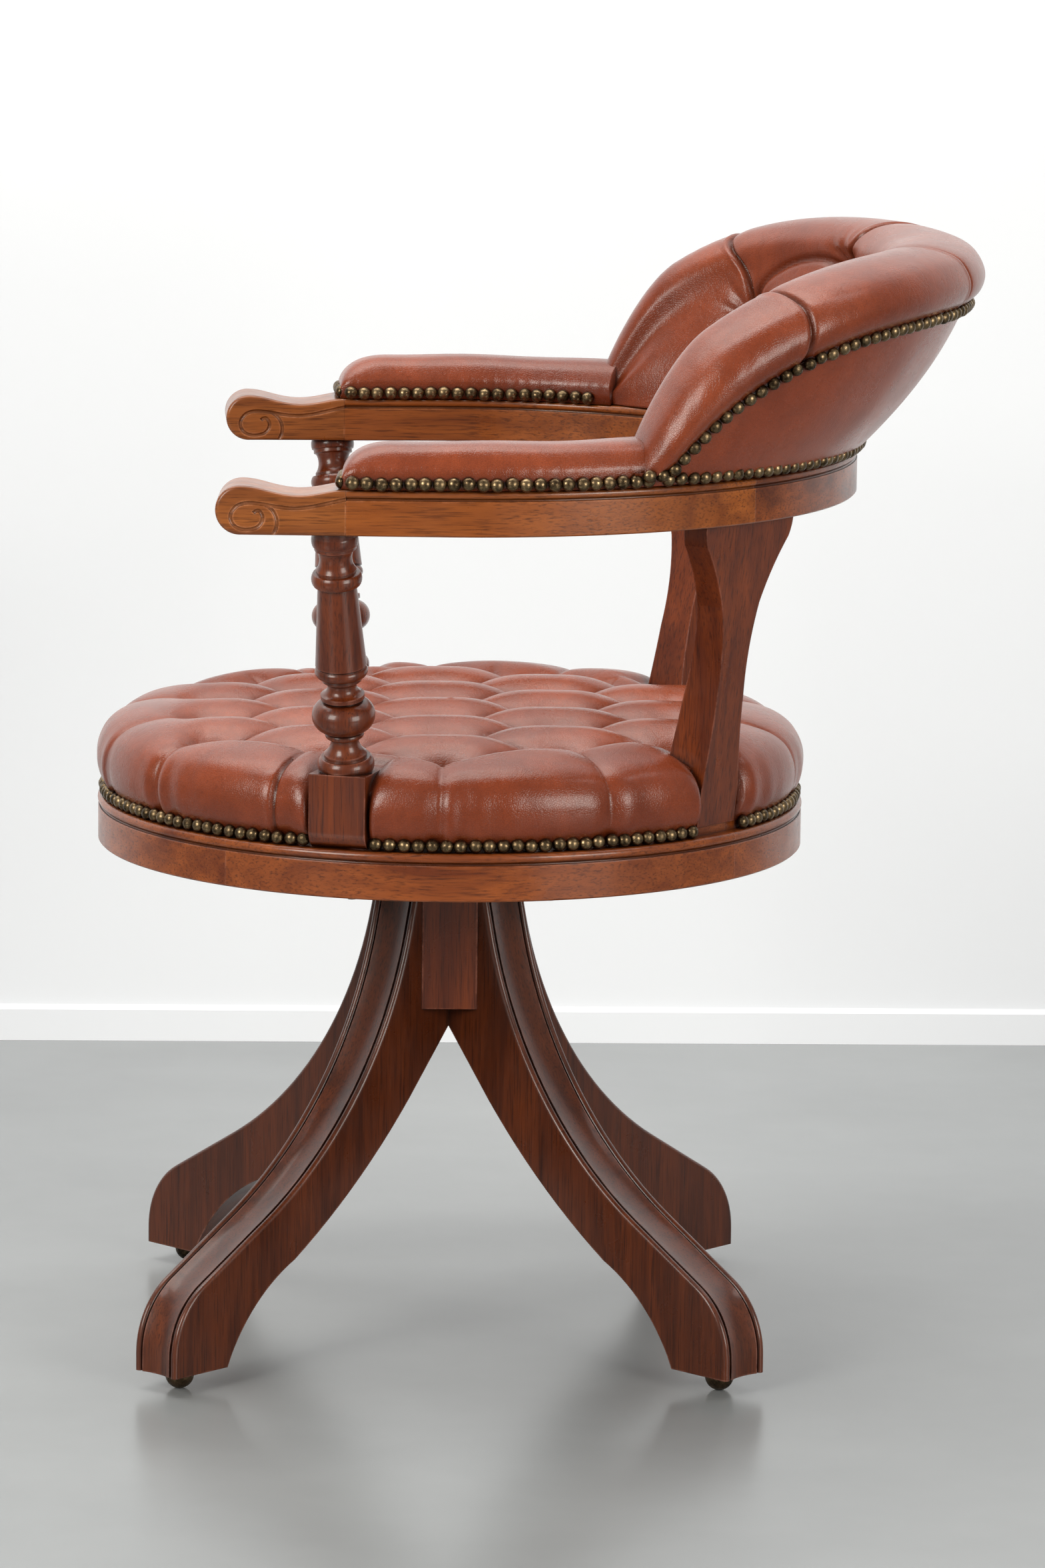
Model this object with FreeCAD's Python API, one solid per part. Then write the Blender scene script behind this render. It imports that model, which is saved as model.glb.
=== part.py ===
"""Captain's swivel desk chair: a round buttoned seat, a horseshoe arm rail and four swept legs.

Millimetres, +Z up. The origin is on the floor, under the swivel axis. The chair faces -Y, and +X is
the sitter's left. Each piece is one solid, or one group of equal solids, written to parts/NAME.step.
"""
import FreeCAD, Part
import math
import os

V = FreeCAD.Vector
ORIGIN = V(0, 0, 0)
UP = V(0, 0, 1)

# ---- driving dimensions -------------------------------------------------------------------------
# Base: four legs of flat board, mitred round the swivel axis, with a moulded outer edge
LEG_WIDTH = 42.0
LEG_TOP = 333.0
FOOT_UNDERSIDE = 14.0
TOE_REACH = 301.0
HEEL_REACH = 248.0
LEG_ANGLES = {"front_left": -45.0, "back_left": 45.0, "back_right": 135.0, "front_right": 225.0}
CORNER_BLOCK_WIDTH = 41.0
CORNER_BLOCK_BOTTOM = 250.0
BALL_RADIUS = 10.5
BALL_CLEARANCE = 0.1
BALL_CIRCLE_RADIUS = 276.0
CUP_RADIUS = 13.0
CUP_TOP = 26.0

# Swivel and screw: a socket in the base, a keyed turntable, a nut and a threaded spindle
SPINDLE_RADIUS = 9.0
THREAD_DEPTH = 0.9
THREAD_PITCH = 5.0
SPINDLE_BOTTOM = 256.0
TURNTABLE_RADIUS = 13.0
SOCKET_RADIUS = 17.0
RUNNING_FIT = 0.06
SOCKET_BOTTOM = 252.0
FLANGE_RADIUS = 46.0
FLANGE_TOP = 336.0
WASHER_TOP = 338.0
TURNTABLE_TOP = 341.0
NUT_TOP = 350.8
NUT_RADIUS = 42.0
SPIDER_BOTTOM = 352.0
SPIDER_TOP = 357.0
SPIDER_SIDE = 170.0
BOLT_SPACING = 145.0

# Seat: a round rail in four pieces, a board, and a buttoned cushion
RAIL_RADIUS = 260.0
RAIL_BOTTOM = 370.0
RAIL_BEAD_TOP = 404.5
RAIL_TOP = 425.0
RAIL_INNER_RADIUS = 222.0
BOARD_RADIUS = 232.0
BOARD_BOTTOM = 400.0
BOARD_TOP = 412.0
TACK_RADIUS = 250.5
RAIL_JOINT_ANGLE = 51.0
CUSHION_RADIUS = 263.0
CUSHION_TOP = 467.0
COVER_THICKNESS = 2.0
SOFT_GAP = 0.4

# Uprights between the seat rail and the arm rail
BLOCK_SIDE = 42.0
BLOCK_RADIUS = 240.0
BLOCK_ANGLE = 19.0
BLOCK_TOP = 458.0
BALUSTER_TOP_Y = -88.0
POST_ANGLE = 42.0
POST_FOOT = 411.0

# Arm rail: a horseshoe in five pieces with scrolled hands
ARM_RADIUS = 272.5
ARM_WIDTH = 48.0
ARM_BOTTOM = 634.6
ARM_TOP = 667.0
ARM_TAPER = 2.0
ARM_JOINT_Y = -79.5
ARM_JOINT_ANGLE = 45.0
SCROLL_Y = -148.0
SCROLL_Z = 647.5
PAD_TOP = 698.0
PAD_FRONT_Y = -83.0
PAD_BACK_ANGLE = 26.0

# Back: a barrel that leans out behind the arm rail, with a thick roll along its top
BACK_SHIFT = 70.0
BACK_LOW = ARM_TOP
BACK_HIGH = 775.0
ROLL_RADIUS = 28.0
ROLL_SIDE_RADIUS = 271.0
ROLL_BACK_RADIUS = 285.0
ROLL_PEAK = 792.0
ROLL_DROP = 106.0
ROLL_SPAN = 77.0
ROLL_POWER = 4.6

# Nails and buttons
NAIL_RADIUS = 4.6
NAIL_PITCH = 11.0
BUTTON_RADIUS = 8.0
BUTTON_PITCH_X = 80.0
BUTTON_PITCH_Y = 85.0
BUTTON_SHIFT_Y = -9.0
BUTTON_Z = 450.0
BUTTON_DROP = 7.0
BACK_BUTTON_Z = 738.0


# ---- helpers ------------------------------------------------------------------------------------
def save(name, *solids):
    """Write one solid, or a group of separate solids, as one node."""
    shape = solids[0] if len(solids) == 1 else Part.makeCompound(list(solids))
    os.makedirs("parts", exist_ok=True)
    shape.exportStep("parts/" + name + ".step")


def turned(shape, degrees, axis=UP):
    """A copy of the shape, turned about an axis through the origin."""
    copy = shape.copy()
    copy.rotate(ORIGIN, axis, degrees)
    return copy


def moved(shape, x, y, z):
    """A copy of the shape, moved."""
    copy = shape.copy()
    copy.translate(V(x, y, z))
    return copy


def mirrored(shape):
    """The same piece on the sitter's other side."""
    return shape.mirror(ORIGIN, V(1, 0, 0))


def wire(start, *steps):
    """A wire in the XZ plane.

    A step is a point (x, z), an arc as two points (middle, end), or a list of points for one smooth
    curve that leaves the step before it without a kink and ends level.
    """
    edges = []
    here = V(start[0], 0, start[1])
    for step in steps:
        if isinstance(step, list):
            points = [here] + [V(x, 0, z) for x, z in step]
            end = points[-1]
            before = edges[-1]
            tangent = before.tangentAt(before.LastParameter)
            curve = Part.BSplineCurve()
            curve.interpolate(Points=points, InitialTangent=tangent, FinalTangent=V(1, 0, 0))
            edges.append(curve.toShape())
        elif isinstance(step[0], tuple):
            middle = V(step[0][0], 0, step[0][1])
            end = V(step[1][0], 0, step[1][1])
            edges.append(Part.Arc(here, middle, end).toShape())
        else:
            end = V(step[0], 0, step[1])
            edges.append(Part.makeLine(here, end))
        here = end
    return Part.Wire(edges)


def smooth_curve(points):
    """One smooth curve through points in space."""
    curve = Part.BSplineCurve()
    curve.interpolate(points)
    return curve


def face(start, *steps):
    """A closed face in the XZ plane, from the same steps as a wire."""
    return Part.Face(wire(start, *steps, start))


def revolved(outline, start_angle=0.0, sweep=360.0):
    """Revolve an XZ face about Z, from start_angle counted from +X towards +Y."""
    return turned(outline.revolve(ORIGIN, UP, sweep), start_angle)


def slab(outline, width):
    """Extrude an XZ face by width, centred on the XZ plane."""
    return moved(outline.extrude(V(0, width, 0)), 0, -width / 2, 0)


def cylinder(radius, low, high, x=0.0, y=0.0):
    """An upright cylinder between two heights."""
    return Part.makeCylinder(radius, high - low, V(x, y, low))


def tube(outer, inner, low, high):
    """An upright tube between two heights."""
    return cylinder(outer, low, high).cut(cylinder(inner, low, high))


def box(width, depth, low, high, x=0.0, y=0.0):
    """An upright box between two heights, centred on (x, y)."""
    return Part.makeBox(width, depth, high - low, V(x - width / 2, y - depth / 2, low))


def hexagon(across_flats, low, high, x, y):
    """An upright hexagonal prism."""
    corner = across_flats / math.sqrt(3)
    turns = [math.radians(60 * k) for k in range(7)]
    points = [V(x + corner * math.cos(a), y + corner * math.sin(a), low) for a in turns]
    return Part.Face(Part.makePolygon(points)).extrude(V(0, 0, high - low))


def polar(radius, degrees, z=0.0):
    """A point from its radius and its angle from +X."""
    return V(radius * math.cos(math.radians(degrees)), radius * math.sin(math.radians(degrees)), z)


def four_ways(shape):
    """The same shape at the four legs or corners."""
    return [turned(shape, 90 * k) for k in range(4)]


# ---- base ---------------------------------------------------------------------------------------
# The outer edge of a leg leaves the top 13.3 degrees from upright, bends outwards on one long arc
# to 60 degrees, runs straight, and rolls over a rounded toe down to the floor side.
LEG_EDGE_TOP = (56.8, LEG_TOP)
LEG_ARC_START = (62.0, 311.0)
LEG_ARC_MIDDLE = (118.4, 193.6)
LEG_ARC_END = (207.3, 115.7)
TOE_ARC_START = (271.0, 78.9)
TOE_ARC_MIDDLE = (293.0, 56.9)
TOE_ARC_END = (TOE_REACH, 26.9)


def leg_moulding_cutter():
    """What the moulding plane removes: a bead at each edge and a wide hollow between them."""
    half = LEG_WIDTH / 2
    bead = 2.8
    groove = half - 2 * bead
    hollow = groove - 1.6
    across = [(-half, -bead), ((-half + bead, 0), (-groove, -bead)), (-groove + 1.2, -bead), (-hollow, -1.0),
              ((0, -3.0), (hollow, -1.0)), (groove - 1.2, -bead), (groove, -bead),
              ((half - bead, 0), (half, -bead)), (half + 1, -bead), (half + 1, 4), (-half - 1, 4)]
    profile = wire((-half - 1, -bead), *across, (-half - 1, -bead))
    edge = wire((LEG_ARC_START[0] - 7.1, LEG_ARC_START[1] + 30.0), LEG_ARC_START,
                (LEG_ARC_MIDDLE, LEG_ARC_END), TOE_ARC_START, (TOE_ARC_MIDDLE, TOE_ARC_END),
                (TOE_REACH, FOOT_UNDERSIDE - 5.0))
    # Stand the profile across the start of the edge, with its outer side away from the leg
    profile.rotate(ORIGIN, UP, 90)
    profile.rotate(ORIGIN, V(0, 1, 0), 90)
    lean = math.degrees(math.atan2(7.1, 30.0))
    profile.rotate(ORIGIN, V(0, 1, 0), -lean)
    profile.translate(edge.Vertexes[0].Point)
    return edge.makePipeShell([profile], True, False)


def socket_screw():
    """A countersunk screw through the socket's flange into the leg along +X."""
    circle = 34.0
    shank = 2.2
    screw = cylinder(shank, LEG_TOP - 22, FLANGE_TOP, circle)
    return screw.fuse(Part.makeCone(shank, 2 * shank, shank, V(circle, 0, FLANGE_TOP - shank))).removeSplitter()


def make_leg():
    """The leg that points along +X."""
    outline = face(LEG_EDGE_TOP, LEG_ARC_START, (LEG_ARC_MIDDLE, LEG_ARC_END), TOE_ARC_START,
                   (TOE_ARC_MIDDLE, TOE_ARC_END), (TOE_REACH, FOOT_UNDERSIDE),
                   (HEEL_REACH, FOOT_UNDERSIDE), (244.0, 22.5),
                   ((224.0, 50.5), (180.0, 82.5)), ((115.0, 131.5), (62.0, 184.5)),
                   (0.0, 258.5), (0.0, LEG_TOP))
    half = LEG_WIDTH / 2
    mitre = Part.makePolygon([V(0, 0, 0), V(half, -half, 0), V(400, -half, 0), V(400, half, 0),
                              V(half, half, 0), V(0, 0, 0)])
    wedge = Part.Face(mitre).extrude(V(0, 0, LEG_TOP))
    leg = slab(outline, LEG_WIDTH).common(wedge)
    leg = leg.cut(leg_moulding_cutter())
    leg = leg.cut(cylinder(SOCKET_RADIUS, SOCKET_BOTTOM - 20, LEG_TOP)).cut(socket_screw())
    cup_hole = cylinder(CUP_RADIUS, FOOT_UNDERSIDE, CUP_TOP, BALL_CIRCLE_RADIUS)
    return leg.cut(cup_hole)


def make_base():
    """Legs, corner blocks, ball castors and the swivel socket."""
    leg = make_leg()
    for name, angle in LEG_ANGLES.items():
        save("leg_" + name, turned(leg, angle))

    inner = LEG_WIDTH / 2 * math.sqrt(2)
    half = CORNER_BLOCK_WIDTH / 2
    triangle = Part.makePolygon([V(inner, 0, 0), V(inner + half, -half, 0), V(inner + half, half, 0),
                                 V(inner, 0, 0)])
    block = moved(Part.Face(triangle).extrude(V(0, 0, LEG_TOP - CORNER_BLOCK_BOTTOM)),
                  0, 0, CORNER_BLOCK_BOTTOM)
    save("corner_blocks", *four_ways(block))

    cup = cylinder(CUP_RADIUS, FOOT_UNDERSIDE - 2.0, CUP_TOP, BALL_CIRCLE_RADIUS)
    ball = Part.makeSphere(BALL_RADIUS, V(BALL_CIRCLE_RADIUS, 0, BALL_RADIUS))
    ball_space = Part.makeSphere(BALL_RADIUS + BALL_CLEARANCE, V(BALL_CIRCLE_RADIUS, 0, BALL_RADIUS))
    cup = cup.cut(ball_space)
    save("castor_cups", *[turned(cup, angle) for angle in LEG_ANGLES.values()])
    for name, angle in LEG_ANGLES.items():
        save("castor_ball_" + name, turned(ball, angle))

    socket = tube(SOCKET_RADIUS, TURNTABLE_RADIUS + RUNNING_FIT, SOCKET_BOTTOM, FLANGE_TOP)
    socket = socket.fuse(tube(FLANGE_RADIUS, SOCKET_RADIUS, LEG_TOP, FLANGE_TOP)).removeSplitter()
    screws = [turned(socket_screw(), angle) for angle in LEG_ANGLES.values()]
    save("swivel_socket", socket.cut(Part.makeCompound(screws)))
    save("socket_screws", *screws)
    save("thrust_washer", tube(29.0, TURNTABLE_RADIUS + RUNNING_FIT, FLANGE_TOP, WASHER_TOP))


# ---- swivel and screw ---------------------------------------------------------------------------
KEY_HEIGHT = 326.0
KEY_RADIUS = 2.4
KEYWAY_DEPTH = 2.5


def make_turntable():
    """The keyed collar that turns in the socket and carries the nut."""
    bore = SPINDLE_RADIUS + RUNNING_FIT
    collar = tube(TURNTABLE_RADIUS, bore, SOCKET_BOTTOM + 8, TURNTABLE_TOP)
    collar = collar.fuse(tube(27.0, TURNTABLE_RADIUS, WASHER_TOP + 0.1, TURNTABLE_TOP)).removeSplitter()
    key = Part.makeCylinder(KEY_RADIUS, TURNTABLE_RADIUS - SPINDLE_RADIUS + KEYWAY_DEPTH - 0.3,
                            V(SPINDLE_RADIUS - KEYWAY_DEPTH + 0.3, 0, KEY_HEIGHT), V(1, 0, 0))
    key = key.common(cylinder(TURNTABLE_RADIUS, KEY_HEIGHT - 5, KEY_HEIGHT + 5))
    save("turntable_collar", collar.cut(key))
    save("spindle_key", key)

    low = TURNTABLE_TOP + 0.1
    nut = cylinder(NUT_RADIUS, low, NUT_TOP)
    for k in range(8):
        grip = polar(NUT_RADIUS + 5.0, 45 * k + 22.5)
        nut = nut.cut(cylinder(10.0, low - 1, NUT_TOP + 1, grip.x, grip.y))
    nut = nut.cut(tube(30.0, 18.0, low + 5.5, NUT_TOP))
    save("height_nut", nut.cut(cylinder(SPINDLE_RADIUS + RUNNING_FIT, low, NUT_TOP)))


def make_spindle():
    """The threaded spindle with a keyway, and its cross pin."""
    hub_top = SPIDER_TOP + 18.0
    points = [(0, SPINDLE_BOTTOM), (SPINDLE_RADIUS - 1.5, SPINDLE_BOTTOM),
              (SPINDLE_RADIUS, SPINDLE_BOTTOM + 1.5)]
    turns = int((SPIDER_BOTTOM - SPINDLE_BOTTOM - 6.0) / THREAD_PITCH)
    for k in range(turns):
        z = SPINDLE_BOTTOM + 3.0 + k * THREAD_PITCH
        points += [(SPINDLE_RADIUS, z), (SPINDLE_RADIUS - THREAD_DEPTH, z + 0.9),
                   (SPINDLE_RADIUS - THREAD_DEPTH, z + 1.9), (SPINDLE_RADIUS, z + 2.8)]
    points += [(SPINDLE_RADIUS, hub_top), (0, hub_top)]
    spindle = revolved(face(*points))
    keyway = Part.makeBox(KEYWAY_DEPTH + 1, 5.0, 74.0, V(SPINDLE_RADIUS - KEYWAY_DEPTH, -2.5, 268.0))
    pin = Part.makeCylinder(2.5, 32.0, V(-16, 0, SPIDER_TOP + 9.0), V(1, 0, 0))
    save("spindle", spindle.cut(keyway).cut(pin))
    save("spindle_pin", pin)
    return pin


def make_seat_mechanism(pin):
    """The cast spider, its bolts and nuts, the seat block and the seat board."""
    half = BOLT_SPACING / 2
    corners = [(half, half), (-half, half), (-half, -half), (half, -half)]
    plate = box(SPIDER_SIDE, SPIDER_SIDE, SPIDER_BOTTOM, SPIDER_TOP)
    for k in range(4):
        window = cylinder(26.0, SPIDER_BOTTOM, SPIDER_TOP, 52.0).fuse(
            box(60.0, 52.0, SPIDER_BOTTOM, SPIDER_TOP, 82.0))
        plate = plate.cut(turned(window, 90 * k))
    hub = cylinder(16.0, SPIDER_TOP, SPIDER_TOP + 18.0)
    spider = plate.fuse(hub).removeSplitter().cut(cylinder(SPINDLE_RADIUS, SPIDER_BOTTOM, 400))
    shanks = [cylinder(3.0, 336.6, BOARD_TOP - 3.0, x, y) for x, y in corners]
    heads = [cylinder(8.0, BOARD_TOP - 3.0, BOARD_TOP, x, y) for x, y in corners]
    bolts = [shank.fuse(head).removeSplitter() for shank, head in zip(shanks, heads)]
    all_bolts = Part.makeCompound(bolts)
    nuts = [hexagon(10.0, SPIDER_BOTTOM - 5.0, SPIDER_BOTTOM, x, y) for x, y in corners]
    save("spider", spider.cut(all_bolts).cut(pin))
    save("mechanism_bolts", *bolts)
    save("mechanism_nuts", *[nut.cut(all_bolts) for nut in nuts])
    block = box(SPIDER_SIDE, SPIDER_SIDE, SPIDER_TOP, BOARD_BOTTOM)
    save("seat_block", block.cut(cylinder(16.3, SPIDER_TOP, SPIDER_TOP + 19.0)).cut(all_bolts))
    save("seat_board", cylinder(BOARD_RADIUS - 0.2, BOARD_BOTTOM, BOARD_TOP).cut(all_bolts))


# ---- seat rail and uprights ---------------------------------------------------------------------
def make_front_block():
    """The block under the left baluster, before it is bored."""
    inner = BLOCK_RADIUS - BLOCK_SIDE / 2
    outer = BLOCK_RADIUS + BLOCK_SIDE / 2
    round_top = RAIL_BEAD_TOP + 13.0
    outline = face((inner, RAIL_BEAD_TOP), (outer - 10.0, RAIL_BEAD_TOP),
                   ((outer - 3.2, RAIL_BEAD_TOP + 4.2), (outer, round_top)),
                   (outer, BLOCK_TOP), (inner, BLOCK_TOP))
    block = slab(outline, BLOCK_SIDE).cut(cylinder(BOARD_RADIUS, RAIL_BEAD_TOP, BOARD_TOP))
    return turned(block, -BLOCK_ANGLE)


def arm_line_x(y):
    """How far the middle of the arm rail is from the centre plane, in front of its round part."""
    taper = math.radians(ARM_TAPER)
    start = V(ARM_RADIUS * math.cos(taper), -ARM_RADIUS * math.sin(taper), 0)
    return start.x + (y - start.y) * math.tan(taper)


def baluster_axis():
    """The foot of the left baluster, and the direction in which it leans."""
    foot = polar(BLOCK_RADIUS, -BLOCK_ANGLE, BLOCK_TOP)
    head = V(arm_line_x(BALUSTER_TOP_Y), BALUSTER_TOP_Y, ARM_BOTTOM)
    return foot, (head - foot).normalize(), (head - foot).Length


def make_baluster():
    """The left baluster with a tenon at each end."""
    foot, direction, length = baluster_axis()
    tenon = 8.0
    outline = face((0, -18), (tenon, -18), (tenon, -6), (18.5, -6), (18.5, 0.5), ((20.2, 6.2), (17.5, 12.0)),
                   (15.2, 12.0), (15.2, 14.5), ((12.0, 18.0), (9.8, 24.5)), (9.8, 27.0),
                   ((13.9, 29.0), (12.0, 31.5)), ((22.5, 43.0), (13.0, 55.0)), (15.6, 56.5), (15.6, 59.5),
                   ((11.5, 62.5), (10.5, 67.5)), (14.0, 70.0), (14.0, 73.0), (17.0, 73.6),
                   ((18.8, 77.2), (17.0, 81.0)), (18.2, 82.0), (13.7, 142.0), (16.6, 142.6),
                   ((18.0, 147.0), (16.6, 151.5)), (14.2, 152.0), (14.2, 154.0),
                   ((11.6, 161.0), (13.0, 168.5)), (14.8, 169.5), (14.8, 172.0), (16.0, 172.6),
                   ((16.6, 176.5), (16.0, 180.0)), (16.0, 190.0), (tenon, 190.0), (tenon, length + 16),
                   (0, length + 16))
    baluster = revolved(outline)
    baluster.Placement = FreeCAD.Placement(foot, FreeCAD.Rotation(UP, direction))
    flange = cylinder(60.0, BLOCK_TOP, ARM_BOTTOM, foot.x + 20, foot.y)
    tenons = Part.makeCylinder(tenon, length + 34, foot - direction * 18, direction)
    return baluster.common(flange).fuse(tenons).removeSplitter(), tenons


def make_rear_post():
    """The left rear post: a vase-shaped plank whose broad face looks outwards."""
    side = face((252.0, POST_FOOT), (280.0, ARM_BOTTOM), (259.5, ARM_BOTTOM), ((251.5, 585.0), (237.0, 520.0)),
                ((229.5, 490.0), (216.0, POST_FOOT)))
    outline = face((21.0, POST_FOOT), (21.0, 438.0), ((17.0, 468.0), (15.0, 505.0)),
                   ((16.0, 545.0), (21.0, 572.0)), ((33.0, 598.0), (46.0, 618.0)),
                   ((48.5, 626.0), (49.0, ARM_BOTTOM)), (-49.0, ARM_BOTTOM),
                   ((-48.5, 626.0), (-46.0, 618.0)), ((-33.0, 598.0), (-21.0, 572.0)),
                   ((-16.0, 545.0), (-15.0, 505.0)), ((-17.0, 468.0), (-21.0, 438.0)), (-21.0, POST_FOOT))
    broad = moved(turned(outline.extrude(V(0, 120, 0)), -90), 190, 0, 0)
    post = slab(side, 120).common(broad)
    post = post.cut(cylinder(BOARD_RADIUS, POST_FOOT - 5, BOARD_TOP))
    return turned(post, 90 - POST_ANGLE)


def make_rail(cutters):
    """The seat rail in four pieces: a flat band, a groove, a bead and a strip for the nails."""
    band = 396.0
    groove = 397.6
    outline = face((RAIL_INNER_RADIUS, RAIL_BOTTOM), (RAIL_RADIUS - 1.0, RAIL_BOTTOM),
                   (RAIL_RADIUS, RAIL_BOTTOM + 1.0), (RAIL_RADIUS, band - 0.6), (RAIL_RADIUS - 0.6, band),
                   ((RAIL_RADIUS - 2.4, (band + groove) / 2), (RAIL_RADIUS - 1.4, groove)),
                   ((RAIL_RADIUS + 0.4, 400.8), (RAIL_RADIUS - 3.0, RAIL_BEAD_TOP)),
                   (TACK_RADIUS, RAIL_BEAD_TOP), (TACK_RADIUS, RAIL_TOP), (BOARD_RADIUS, RAIL_TOP),
                   (BOARD_RADIUS, BOARD_BOTTOM), (RAIL_INNER_RADIUS, BOARD_BOTTOM))
    names = ["back", "right", "front", "left"]
    for k, name in enumerate(names):
        piece = revolved(outline, RAIL_JOINT_ANGLE + 90 * k, 90.0)
        save("seat_rail_" + name, piece.cut(cutters))


def cushion_outline(shrink):
    """Half of the cushion's section. Shrink gives the foam inside the leather."""
    top = CUSHION_TOP - shrink
    side = CUSHION_RADIUS - shrink
    nailed = TACK_RADIUS + 1.8 - shrink
    floor = BOARD_TOP + 0.1
    flat = 226.0
    inner = BOARD_RADIUS - 0.4 - shrink / 4
    return face((0, floor), (inner, floor), (inner, RAIL_TOP + 0.2 + shrink / 2),
                (nailed, RAIL_TOP + 0.2 + shrink / 2), ((side, 438.0), (flat + 24.0 - shrink, top - 12.0)),
                ((flat + 15.0 - shrink, top - 3.5), (flat, top)), (0, top))


def leather_skirt():
    """The edge of the leather, from the cushion down over the strip to the bead."""
    return face((TACK_RADIUS + 0.1, RAIL_BEAD_TOP + 0.2), (TACK_RADIUS + 1.9, RAIL_BEAD_TOP + 0.2),
                (TACK_RADIUS + 1.9, RAIL_TOP + 0.4), (TACK_RADIUS + 0.1, RAIL_TOP + 0.4))


def cushion_notches():
    """The notches in the cushion round the uprights, a little larger than they are."""
    low = RAIL_BEAD_TOP
    block_inner = BLOCK_RADIUS - BLOCK_SIDE / 2 - SOFT_GAP
    block = slab(face((block_inner, low), (300, low), (300, 480), (block_inner, 480)), BLOCK_SIDE + 2 * SOFT_GAP)
    foot = cylinder(21.5, BLOCK_TOP - 2.0, 480, BLOCK_RADIUS + 1.5)
    post = slab(face((213.0, low), (300, low), (300, 490), (226.5, 490)), 42.0 + 2 * SOFT_GAP)
    left = [turned(block, -BLOCK_ANGLE), turned(foot, -BLOCK_ANGLE), turned(post, 90 - POST_ANGLE)]
    return Part.makeCompound(left + [mirrored(notch) for notch in left])


def make_cushion():
    """The leather cover, the foam inside it, and the buttons sunk into both."""
    notches = cushion_notches()
    whole = revolved(cushion_outline(0.0)).cut(notches)
    foam = revolved(cushion_outline(COVER_THICKNESS)).cut(notches)
    skirt = revolved(leather_skirt()).cut(notches)
    spots = button_places()
    for spot in spots:
        well = cylinder(BUTTON_RADIUS + 1.0, spot.z - 0.5, CUSHION_TOP + 1, spot.x, spot.y)
        whole = whole.cut(well)
        foam = foam.cut(well)
    save("seat_cover", largest(whole.cut(foam).fuse(skirt).removeSplitter()))
    save("seat_foam", largest(foam))
    save("seat_buttons", *[button(spot, UP) for spot in spots])


# ---- arm rail -----------------------------------------------------------------------------------
def arm_section():
    """The section of the arm rail: a band with a groove and a bead under the pad on each side."""
    half = ARM_WIDTH / 2
    inside = ARM_RADIUS - half
    outside = ARM_RADIUS + half
    groove_low = 659.6
    groove_high = 661.4
    return face((inside + 1, ARM_BOTTOM), (outside - 1, ARM_BOTTOM), (outside, ARM_BOTTOM + 1),
                (outside, groove_low), ((outside - 1.9, 660.5), (outside - 1.0, groove_high)),
                ((outside + 0.2, 664.4), (outside - 2.6, ARM_TOP)), (inside + 2.6, ARM_TOP),
                ((inside - 0.2, 664.4), (inside + 1.0, groove_high)), ((inside + 1.9, 660.5), (inside, groove_low)),
                (inside, ARM_BOTTOM + 1))


def tapered(shape):
    """Turn what runs straight on from the end of the arm's round part into the taper."""
    return turned(shape, -ARM_TAPER)


def along_arm(shape):
    """Move a piece from the line x = ARM_RADIUS onto the tapered front of the left arm, keeping its y."""
    return tapered(moved(shape, 0, ARM_RADIUS * math.tan(math.radians(ARM_TAPER)), 0))


def spiral_path():
    """The carved line of a hand: along under the bead, then round the scroll in half turns."""
    y = SCROLL_Y
    z = SCROLL_Z
    spots = [(69.0, 13.0), (50.0, 8.6), (33.0, 6.2), (17.0, 7.8), (4.0, 9.6), (-7.5, 7.2), (-11.6, -0.6),
             (-8.0, -7.0), (0.0, -9.0), (7.8, -6.6), (10.8, 0.0), (8.4, 4.0), (4.4, 2.8)]
    return Part.Wire(smooth_curve([V(y + along, 0, z + up) for along, up in spots]).toShape())


def heel_path():
    """The short curved line that closes the scroll behind."""
    y = SCROLL_Y
    z = SCROLL_Z
    return wire((y + 13.0, z + 8.2), ((y + 20.6, z - 2.6), (y + 16.4, z - 14.0)))


def carved(path):
    """A round groove swept along a line of the hand's side face."""
    first = path.Edges[0]
    ring = Part.Circle(first.valueAt(first.FirstParameter), first.tangentAt(first.FirstParameter), 1.35)
    return path.makePipeShell([Part.Wire(ring.toShape())], True, False)


def make_hand():
    """The left hand, worked straight along X and then turned to lie along the arm."""
    y = SCROLL_Y
    z = SCROLL_Z
    bottom = ARM_BOTTOM
    outline = face((ARM_JOINT_Y, bottom), (y - 4.0, bottom), ((y - 22.4, z + 4.4), (y - 5.0, z + 21.7)),
                   [(y + 14.0, z + 18.4), (y + 34.0, z + 15.2), (y + 52.0, z + 17.2), (ARM_JOINT_Y, ARM_TOP)])
    hand = slab(outline, ARM_WIDTH)
    rounded = [edge for edge in hand.Edges if is_top_arris(edge)]
    hand = hand.makeFillet(2.6, rounded)
    half = ARM_WIDTH / 2
    for path in (spiral_path(), heel_path()):
        groove = carved(path)
        for side in (half + 0.3, -half - 0.3):
            hand = hand.cut(moved(groove, 0, side, 0))
    # From along X to along Y, with the outer face away from the sitter
    hand = turned(hand, 90)
    return along_arm(moved(hand, ARM_RADIUS, 0, 0))


def is_top_arris(edge):
    """Whether an edge runs along the top or the nose of a hand's side face."""
    middle = edge.valueAt((edge.FirstParameter + edge.LastParameter) / 2)
    on_side = abs(abs(middle.y) - ARM_WIDTH / 2) < 0.01
    return on_side and middle.z > ARM_BOTTOM + 5 and middle.x < ARM_JOINT_Y - 1


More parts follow.
